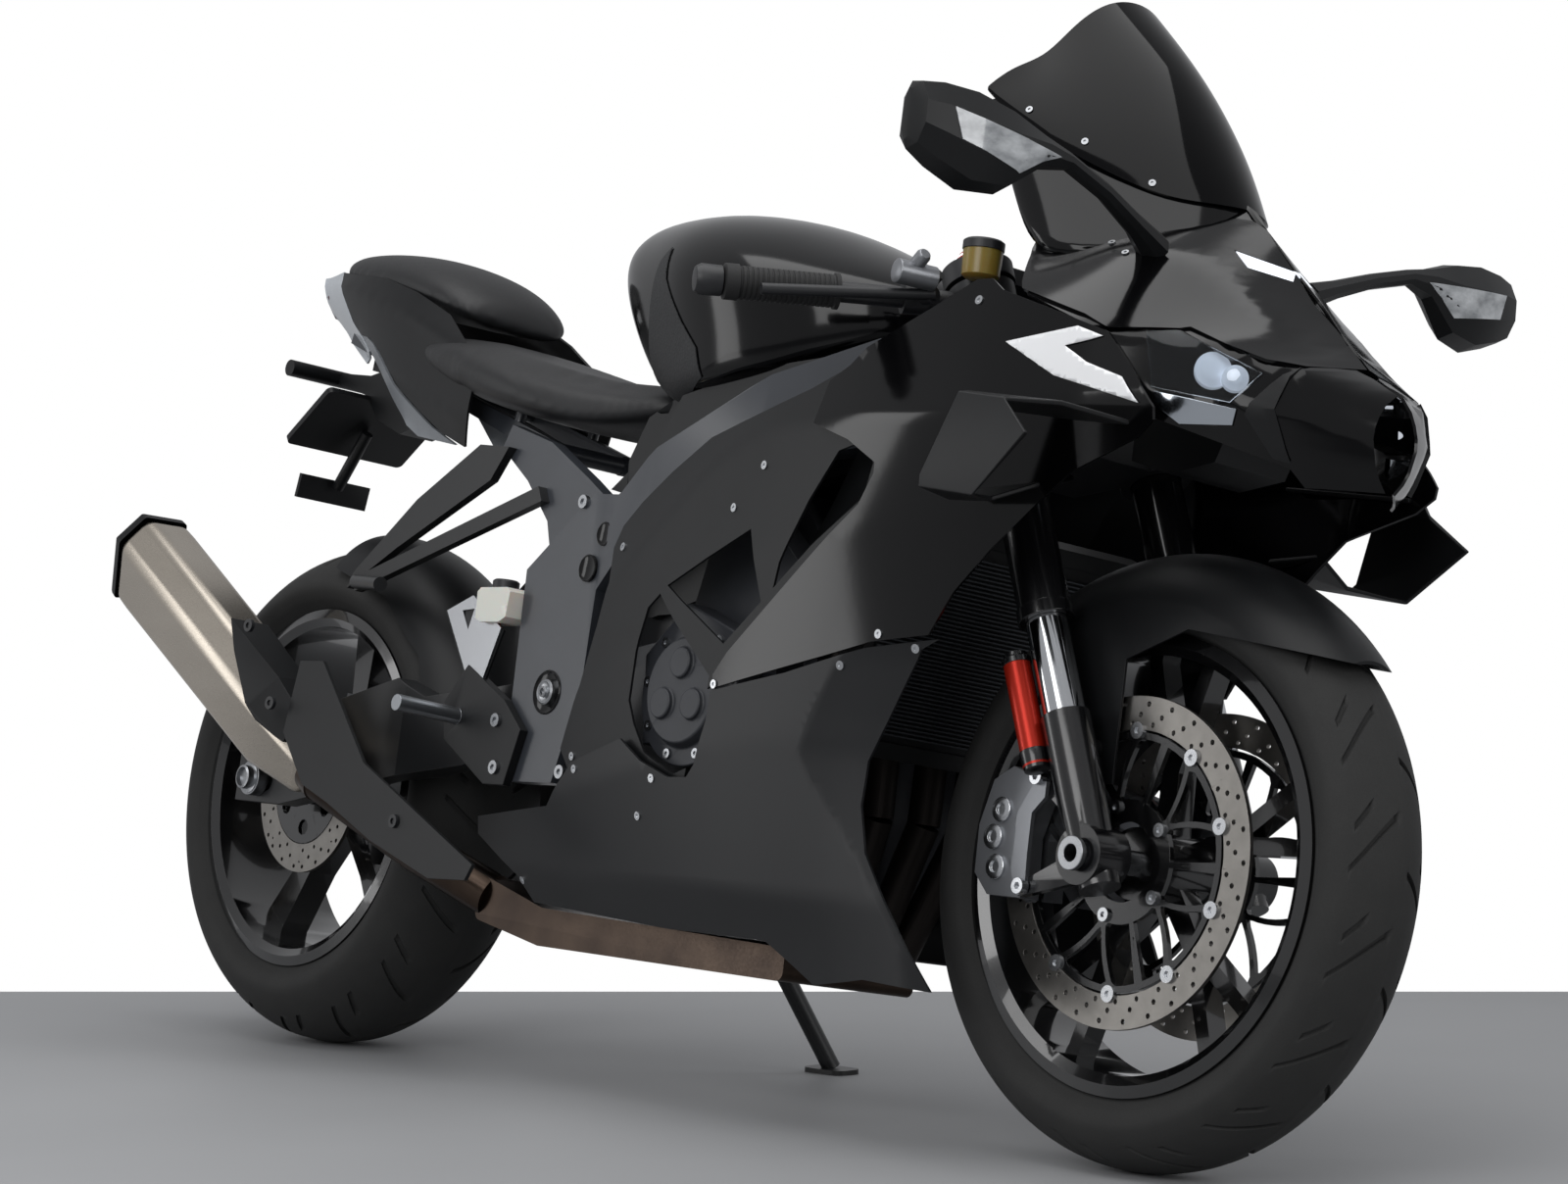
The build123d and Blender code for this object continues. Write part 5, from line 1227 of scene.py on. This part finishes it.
# %% [markdown]
# The tail is three mouldings: a black side cover under the pads, a pale tail piece that closes its end,
# and a grey strip along its lower edge.
# %% Tail
TAIL = [
    [(-150, 948, 40), (-30, 888, 58), (90, 800, 72), (240, 752, 84), (300, 745, 92)],
    [(-150, 968, 56), (-30, 925, 84), (90, 860, 100), (240, 800, 108), (300, 790, 112)],
    [(-150, 988, 62), (-30, 972, 98), (90, 936, 114), (240, 880, 112), (300, 850, 112)],
    [(-150, 1006, 58), (-30, 992, 92), (90, 966, 104), (240, 912, 92), (300, 880, 96)],
]
TAIL_SIDE = [(-84, 1001), (-34, 992), (58, 978), (131, 955), (204, 922), (262, 880), (300, 846), (290, 790),
             (262, 752), (204, 773), (149, 805), (106, 832), (59, 880), (25, 903), (-16, 912), (-40, 932),
             (-70, 970)]
TAIL_PALE = [(-160, 1003), (-87, 1003), (-73, 970), (-43, 930), (-22, 910), (-12, 892), (-34, 880),
             (-84, 910), (-146, 958)]
TAIL_STRIP = [(-10, 898), (-18, 912), (2, 909), (28, 896), (75, 842), (119, 815), (174, 782),
              (232, 757), (132, 774), (99, 790), (54, 830), (18, 870)]
side_skin("tail_side_covers", TAIL_SIDE, TAIL, "satin_black", bevel=1.5, replaces=("tail_cowl",))
side_skin("tail_pale_panels", TAIL_PALE, TAIL, "tail_white", inset=1, bevel=1.2)
side_skin("tail_grey_strips", TAIL_STRIP, TAIL, "tail_grey", "tail_white", inset=3, bevel=1.2)
TAIL_LAMP = [(-140, ((46, 948), (62, 975), (60, 990), (48, 1004))),
             (-158, ((40, 958), (54, 978), (52, 990), (42, 1002))),
             (-182, ((20, 974), (34, 984), (32, 992), (24, 999)))]
rings = [[(x, -w, z) for w, z in half] + [(x, w, z) for w, z in reversed(half)] for x, half in TAIL_LAMP]
loft("tail_lamp_lens", rings, "red_lens", "tail_white", replaces=("tail_light",), subdivide=0, sharp=30,
     bevel=2)

# %% [markdown]
# Many small parts are turned: grips, fork caps, reservoirs, bolts. One function revolves a profile of
# (distance along, radius) about a direction, with flat ends.
# %% Turned parts


def turned(name, parts, finish, body, slot, replaces=(), around=32, bevel=0.0):
    """Revolved parts: each is a start, a direction and a profile of (distance, radius) rows."""
    spots, faces = [], []
    for start, direction, profile in parts:
        start, axis = Vector(start), Vector(direction).normalized()
        first = axis.orthogonal().normalized()
        second = axis.cross(first)
        base = len(spots)
        for along, radius in profile:
            for k in range(around):
                turn = 2 * math.pi * k / around
                out = first * math.cos(turn) + second * math.sin(turn)
                spots.append(start + axis * along + out * radius)
        rows = len(profile)
        for r in range(rows - 1):
            for k in range(around):
                a, b = base + r * around + k, base + r * around + (k + 1) % around
                faces.append((a, b, b + around, a + around))
        faces.append(tuple(base + k for k in range(around))[::-1])
        faces.append(tuple(base + (rows - 1) * around + k for k in range(around)))
    piece = new_piece(name, spots, faces, finish, body, slot, replaces, sharp=40)
    tidy_normals(piece)
    finish_edges(piece, bevel=bevel)
    return piece

# %% [markdown]
# The handlebar ends in ribbed rubber grips with a flange at each end and a steel weight outside them.
# Beside it stand the master cylinders and a little cup of brake fluid with a screwed cap.
# %% Handlebar fittings
FORK_HALF, FORK_TOP, CLAMP_HEIGHT = 107, 668, 620
CLAMP_CENTRE = FRONT_HUB + UP_FORK * CLAMP_HEIGHT + OUTWARD * FORK_HALF
BAR_TIP = CLAMP_CENTRE + Vector((-130, 245, -20))
bar_along = (BAR_TIP - CLAMP_CENTRE).normalized()
GRIP_LENGTH, RIBS, RIB_PITCH = 122, 18, 5.4
GRIP_R, RIB_R, FLANGE_R = 16.6, 17.6, 19
grip_profile = [(0, 13), (0.5, FLANGE_R), (5, FLANGE_R), (6, 17)]
for k in range(RIBS):
    along = 8 + k * RIB_PITCH
    grip_profile += [(along, GRIP_R), (along + 0.6, RIB_R), (along + 3.6, RIB_R), (along + 4.2, GRIP_R)]
grip_profile += [(106, 17), (107, FLANGE_R), (121, FLANGE_R), (122.5, 16)]
turned("ribbed_grips", both_sides([(BAR_TIP - bar_along * GRIP_LENGTH, bar_along, grip_profile)]),
       "grip_rubber", "steering", "grip_rubber", replaces=("grips",))
BAR_END = [(1, 11), (2, 16), (24, 16.5), (30, 13), (31, 6)]
turned("bar_end_weights", both_sides([(BAR_TIP, bar_along, BAR_END)]), "cast_black", "steering",
       "grip_rubber", bevel=0.8)
CUP = Vector((1226, -142, 884))
turned("fluid_reservoir_body", [(CUP, UP, [(0, 16), (3, 20), (30, 21), (31, 18)])], "fluid_amber", "steering",
       "grip_rubber", bevel=0.5)
turned("fluid_reservoir_cap", [(CUP + UP * 30, UP, [(0, 22), (9, 22), (11, 19), (12, 8)])], "cast_black",
       "steering", "grip_rubber", bevel=0.6)
turned("master_cylinders", both_sides([
    ((1196, 176, 878), (-0.25, 0.95, 0.02), [(0, 9), (2, 13), (46, 13), (48, 8)]),
    ((1180, 200, 880), (0.6, 0.1, 0.4), [(0, 8), (30, 8), (34, 6)])]),
       "caliper_silver", "steering", "cast_black", bevel=0.8)

# %% [markdown]
# Turned parts on the fork, its reservoirs, the calipers and in the headlamps are made the same way.
# %% Fork, caliper and headlamp fittings
turned("fork_caps", both_sides([(FRONT_HUB + UP_FORK * FORK_TOP + OUTWARD * FORK_HALF, UP_FORK,
                                 [(0, 24), (4, 24), (5, 17), (12, 17), (13, 15)])]),
       "red_anodised", "steering", "fork_black", bevel=0.6)
RESERVOIR_LOW, RESERVOIR_BACK, RESERVOIR_HALF = 106, 35.9, 123
RESERVOIR_FOOT = FRONT_HUB + UP_FORK * RESERVOIR_LOW - AHEAD * RESERVOIR_BACK + OUTWARD * RESERVOIR_HALF
turned("reservoir_caps", both_sides([
    (RESERVOIR_FOOT - UP_FORK * 4, UP_FORK, [(0, 9), (2, 13.4), (20, 15.4), (22, 15)]),
    (RESERVOIR_FOOT + UP_FORK * 112, UP_FORK, [(0, 15.2), (6, 15.2), (8, 12), (12, 12)])]),
       "fork_black", "steering", "red_anodised", bevel=0.5)


def projector(x, z, inset, size):
    """One of a headlamp's round lenses, set into the nose and looking forward and out."""
    return (Vector((x, hull_width(NOSE, x, z) - inset, z)), (0.75, 0.65, 0.1),
            [(0, size + 3), (8, size + 3), (9, size), (12, size * 0.8), (14, size * 0.4)])


turned("headlight_projectors", both_sides([projector(1556, 772, 26, 15), projector(1580, 764, 20, 10)]),
       "lamp_lit", "chassis", "lamp_clear")
PISTON_COVER = [(0, 13), (4, 13), (5, 11), (5, 6), (3, 5), (3, 1)]
turned("caliper_piston_covers", both_sides([(FRONT_HUB + Vector((x, 91, z)), OUTWARD, PISTON_COVER)
                                            for x, z in ((-150, 42), (-158, 14), (-150, -16))]),
       "screw_steel", "steering", "caliper_silver", bevel=0.4)

# %% [markdown]
# The frame carries the bolts that hold the whole machine together: the big pivot bolt in its ringed
# recess, plugs in the frame's lightening holes, and socket heads at the subframe and foot-rest plates.
# %% Frame bolts
PIVOT = Vector((586, 148, 441))
PIVOT_RING = [(0, 26), (5, 26), (6, 24.5), (4.5, 22), (4.5, 12)]
PIVOT_BOLT = [(0, 15), (8, 15), (9.5, 12.5), (8, 10), (8, 6.5), (11, 6.5), (12, 4), (8, 3.5), (8, 1)]
turned("pivot_rings", both_sides([(PIVOT, OUTWARD, PIVOT_RING)]), "gloss_black", "chassis", "satin_metal",
       bevel=0.3)
turned("pivot_bolts", both_sides([(PIVOT, OUTWARD, PIVOT_BOLT)]), "axle_steel", "chassis", "satin_metal",
       bevel=0.3)
plugs = [((x, y, z), OUTWARD, [(0, size), (4.2, size), (4.8, size - 1.5), (4.0, size - 3), (4.0, 1)])
         for x, y, z, size in ((662, 153, 624, 14), (636, 151, 585, 16))]
turned("frame_plugs", both_sides(plugs), "gloss_black", "chassis", "satin_metal")
FRAME_SCREWS = ((611, 153, 663), (543, 115, 609), (631, 152, 350), (512, 165, 405), (560, 115, 640),
                (520, 165, 350))
screws("frame_screws", both_sides([(spot, OUTWARD) for spot in FRAME_SCREWS]), (8, 6, 4), "axle_steel")
CALIPER_BOLTS = ((-96, 101, 76), (-104, 101, -34))
screws("caliper_bolts", both_sides([(FRONT_HUB + Vector(spot), OUTWARD) for spot in CALIPER_BOLTS]),
       (8, 9, 4), "screw_steel", "steering")
GUARD_SCREWS = [((173, -260, 405), (0.1, -1, 0)), ((447, -244, 274), (0, -1, 0)),
                ((103, -262, 500), (0.1, -1, 0))]
screws("guard_screws", GUARD_SCREWS, (8, 5, 4), "cast_black")
screws("engine_cover_screws", both_sides(bolt_circle(Vector((883, 183, 442)), 72, 9, 12)), (5.5, 4, 2.6),
       "axle_steel")
FAIRING_HEAD = (3.8, 3, 1.8)
screws_on("screen_screws", [(1330, 1026), (1400, 984), (1262, 1062)], screen, FAIRING_HEAD, "axle_steel")
screws_on("nose_screws", [(1420, 900), (1392, 914)], nose_top, FAIRING_HEAD, "axle_steel")

# %% [markdown]
# The radiator core is rows of thin fins. A Geometry Nodes tree repeats one bar along a line, and the
# baked rows are then set against the front of the core.
# %% Radiator slats


def slat_tree():
    """Geometry Nodes: a row of equal bars, of given count, spacing and size."""
    tree = bpy.data.node_groups.new("slats", "GeometryNodeTree")
    face = tree.interface
    seed = face.new_socket("Seed", in_out="INPUT", socket_type="NodeSocketGeometry")
    count = face.new_socket("Count", in_out="INPUT", socket_type="NodeSocketInt")
    spacing = face.new_socket("Spacing", in_out="INPUT", socket_type="NodeSocketVector")
    size = face.new_socket("Bar size", in_out="INPUT", socket_type="NodeSocketVector")
    metal = face.new_socket("Finish", in_out="INPUT", socket_type="NodeSocketMaterial")
    face.new_socket("Slats", in_out="OUTPUT", socket_type="NodeSocketGeometry")
    given = add(tree, "NodeGroupInput")
    line = add(tree, "GeometryNodeMeshLine", {"mode": "OFFSET"},
               {"Count": given.outputs["Count"], "Offset": given.outputs["Spacing"]})
    bar = add(tree, "GeometryNodeMeshCube", links={"Size": given.outputs["Bar size"]})
    spread = add(tree, "GeometryNodeInstanceOnPoints", links={"Points": line.outputs["Mesh"],
                                                              "Instance": bar.outputs["Mesh"]})
    real = add(tree, "GeometryNodeRealizeInstances", links={"Geometry": spread.outputs["Instances"]})
    painted = add(tree, "GeometryNodeSetMaterial", links={"Geometry": real.outputs["Geometry"],
                                                          "Material": given.outputs["Finish"]})
    add(tree, "NodeGroupOutput", links={"Slats": painted.outputs["Geometry"]})
    return tree, {"count": count.identifier, "spacing": spacing.identifier, "size": size.identifier,
                  "finish": metal.identifier}


slats, slat_inputs = slat_tree()
CORE_MIDDLE, CORE_HALF = Vector((1092, 0, 412)), 32
SLAT_LOW, SLAT_HIGH, SLAT_PITCH = 14, 222, 4.6
SLAT_DEEP, SLAT_WIDE, SLAT_THICK = 5, 336, 1.6
core_normal = Vector((0.93, 0, -0.36)).normalized()
core_up = Vector((0.36, 0, 0.93)).normalized()
fins = baked("radiator_slats", [(0, 0, 0)], slats, {
    slat_inputs["count"]: int((SLAT_HIGH - SLAT_LOW) / SLAT_PITCH),
    slat_inputs["spacing"]: (0, 0, SLAT_PITCH * MM),
    slat_inputs["size"]: (SLAT_DEEP * MM, SLAT_WIDE * MM, SLAT_THICK * MM),
    slat_inputs["finish"]: finishes["slat_grey"]}, "chassis")
start = CORE_MIDDLE + core_normal * (CORE_HALF + SLAT_DEEP / 2) + core_up * SLAT_LOW
turn = Matrix((core_normal, OUTWARD, core_up)).transposed().to_4x4()
fins.data.transform(PARKED @ Matrix.Scale(1 / MM, 4) @ Matrix.Translation(start * MM) @ turn)

# %% [markdown]
# Behind the openings in the inner panels sits what fills a real machine: the air box under the tank, the
# gear cases behind the engine and the duct in the nose. Flat plates with thick, rounded walls are enough
# there, because only their faces show.
# %% Plates behind the openings


def plates(name, outline, y, thick, finish, slot="satin_black", hole=None, bevel=0.8, sides=(-1, 1)):
    """Flat plates standing fore and aft at half width y, each with up to one hole."""
    pattern = filled(outline, [hole] if hole else [], step=14)
    spots, triangles = on_sides(*pattern, lambda side, x, z: (x, side * y, z), sides)
    finish_edges(new_piece(name, spots, triangles, finish, slot=slot), thick, bevel)


AIR_BOX = [(640, 560), (700, 535), (800, 560), (830, 650), (950, 682), (1040, 700), (1060, 760),
           (1040, 828), (900, 812), (800, 798), (690, 788), (650, 770), (622, 720), (630, 640)]
plates("air_box", AIR_BOX, 105, 210, "satin_black", bevel=14, sides=(1,))
INFILL = [(700, 700), (752, 784), (850, 803), (935, 812), (1010, 816), (1062, 800), (1040, 750), (900, 720),
          (800, 690)]
plates("tank_side_infills", INFILL, 140, 4, "satin_black", bevel=1)
GEAR_CASE = [(640, 440), (650, 560), (705, 590), (810, 570), (810, 420), (700, 400)]
plates("gear_cases", GEAR_CASE, 92, 40, "cast_black", bevel=8)
INTAKE = [(1385, 705), (1440, 690), (1500, 700), (1515, 735), (1470, 785), (1385, 800)]
plates("intake_duct", INTAKE, 52, 104, "satin_black", bevel=10, sides=(1,))

# %% [markdown]
# Small fittings by the rider's foot: the polished heel guard with its triangular cut, the milky brake
# fluid bottle with its cap, the shock's coil spring between the frame plates, and the rear axle nut.
# %% Foot fittings
HEEL = [(380, 535), (430, 553), (494, 514), (470, 452), (452, 436)]
HEEL_HOLE = [(412, 535), (436, 537), (428, 512)]
plates("heel_guards", HEEL, 163, 2.5, "screw_steel", "peg_alloy", HEEL_HOLE)
BOTTLE = [(452, 524), (450, 556), (456, 561), (508, 561), (515, 556), (512, 526), (500, 520), (462, 520)]
plates("rear_fluid_bottle", BOTTLE, 172, 34, "bottle_white", bevel=4, sides=(-1,))
turned("rear_bottle_cap", [((482, -155, 561), UP, [(0, 16), (9, 16), (11, 13), (11.5, 2)])], "cast_black",
       "chassis", "satin_black", bevel=0.8)
SHOCK_FOOT, SHOCK_TOP = Vector((606, 0, 330)), Vector((622, 0, 610))
TURNS, TURN_PITCH, GROOVE_R, COIL_R = 9, 22, 27, 34
coil = [(0, 14), (10, 14), (12, COIL_R), (22, COIL_R)]
for k in range(TURNS):
    low = 26 + k * TURN_PITCH
    coil += [(low, GROOVE_R), (low + 4, COIL_R), (low + 12, COIL_R), (low + 16, GROOVE_R)]
coil += [(226, COIL_R), (244, COIL_R), (246, 24), (280, 24)]
turned("rear_shock", [(SHOCK_FOOT, SHOCK_TOP - SHOCK_FOOT, coil)], "fork_black", "chassis", "satin_metal")
AXLE_NUT = [(0, 20), (3, 20), (4, 15), (12, 15), (13, 12), (8, 11), (8, 9.2)]
turned("rear_axle_nuts", both_sides([(REAR_HUB + OUTWARD * 166, OUTWARD, AXLE_NUT)]), "axle_steel", "chassis",
       "axle_steel", around=24)

# %% [markdown]
# The camera has a long lens and stands at hub height, three-quarters from the front. The floor is plain
# pale concrete grey and ends a little behind the machine.
# %% Camera and floor
CAMERA_SPOT = Vector((3.26538, -2.74961, 0.54866))
AZIMUTH, ELEVATION = math.radians(49.791), math.radians(-0.374)
LENS, SENSOR = 84.04, 36
scene = bpy.context.scene
eye = bpy.data.cameras.new("camera")
eye.lens, eye.sensor_width, eye.sensor_fit = LENS, SENSOR, "HORIZONTAL"
eye.clip_end = 60
camera = placed("camera", eye)
ahead_flat = Vector((-math.sin(AZIMUTH), math.cos(AZIMUTH), 0))
forward = ahead_flat * math.cos(ELEVATION) - Vector((0, 0, math.sin(ELEVATION)))
camera.rotation_euler = forward.to_track_quat("-Z", "Y").to_euler()
camera.location = CAMERA_SPOT
scene.camera = camera

mottle(new_finish("floor_grey", "#a3a4a6", roughness=0.55), "#a9aaac", "#9a9b9d", 700)
across = Vector((math.cos(AZIMUTH), math.sin(AZIMUTH), 0))
FLOOR_AHEAD, FLOOR_BEHIND, FLOOR_REACH = 5.35, -4, 9.0
centre = Vector((CAMERA_SPOT.x, CAMERA_SPOT.y, 0))
corners = [centre + ahead_flat * d + across * w
           for d, w in ((FLOOR_AHEAD, -FLOOR_REACH), (FLOOR_AHEAD, FLOOR_REACH),
                        (FLOOR_BEHIND, FLOOR_REACH), (FLOOR_BEHIND, -FLOOR_REACH))]
mesh = bpy.data.meshes.new("floor")
mesh.from_pydata([tuple(c) for c in corners], [], [(3, 2, 1, 0)])
mesh.materials.append(finishes["floor_grey"])
floor = placed("floor", mesh)
print("camera of", LENS, "mm at", [round(c, 2) for c in CAMERA_SPOT])

# %% [markdown]
# The surround is white where the camera or clear plastic looks at it, dim where it lights the machine, and
# in between where gloss reflects it. Four soft area lamps do the rest.
# %% Light
world = bpy.data.worlds.new("surround")
scene.world = world
world.use_nodes = True
tree = world.node_tree
tree.nodes.clear()
path = add(tree, "ShaderNodeLightPath")
seen = add(tree, "ShaderNodeMath", {"operation": "MAXIMUM"},
           {0: path.outputs["Is Camera Ray"], 1: path.outputs["Is Transmission Ray"]})
soft = add(tree, "ShaderNodeBackground", {"Color": linear("#eef0f4"), "Strength": 0.3})
mirrored_room = add(tree, "ShaderNodeBackground", {"Color": linear("#f4f5f8"), "Strength": 0.5})
white = add(tree, "ShaderNodeBackground", {"Color": (1, 1, 1, 1), "Strength": 1.0})
room = add(tree, "ShaderNodeMixShader", links={0: path.outputs["Is Glossy Ray"], 1: soft.outputs[0],
                                               2: mirrored_room.outputs[0]})
blend = add(tree, "ShaderNodeMixShader", links={0: seen.outputs[0], 1: room.outputs[0], 2: white.outputs[0]})
add(tree, "ShaderNodeOutputWorld", links={"Surface": blend.outputs[0]})

LAMPS = (  # name, place, what it looks at, width, height, power
    ("lamp over", (0.4, -0.6, 3.2), (0, 0, 0.5), 3.0, 3.0, 60),
    ("lamp right", (1.6, -3.4, 2.0), (0, 0, 0.5), 2.0, 2.0, 45),
    ("lamp front", (4.0, 0.6, 1.6), (0, 0, 0.5), 1.6, 1.6, 28),
    ("lamp strip", (-2.3, -2.5, 1.1), (0.2, -0.2, 0.5), 0.7, 2.2, 13))
for name, spot, target, width, height, power in LAMPS:
    lamp = bpy.data.lights.new(name, "AREA")
    lamp.shape, lamp.size, lamp.size_y, lamp.energy = "RECTANGLE", width, height, power
    holder = placed(name, lamp)
    holder.location = spot
    holder.rotation_euler = (Vector(target) - Vector(spot)).to_track_quat("-Z", "Y").to_euler()
scene.view_settings.view_transform = "Standard"
print(len(LAMPS), "lamps")
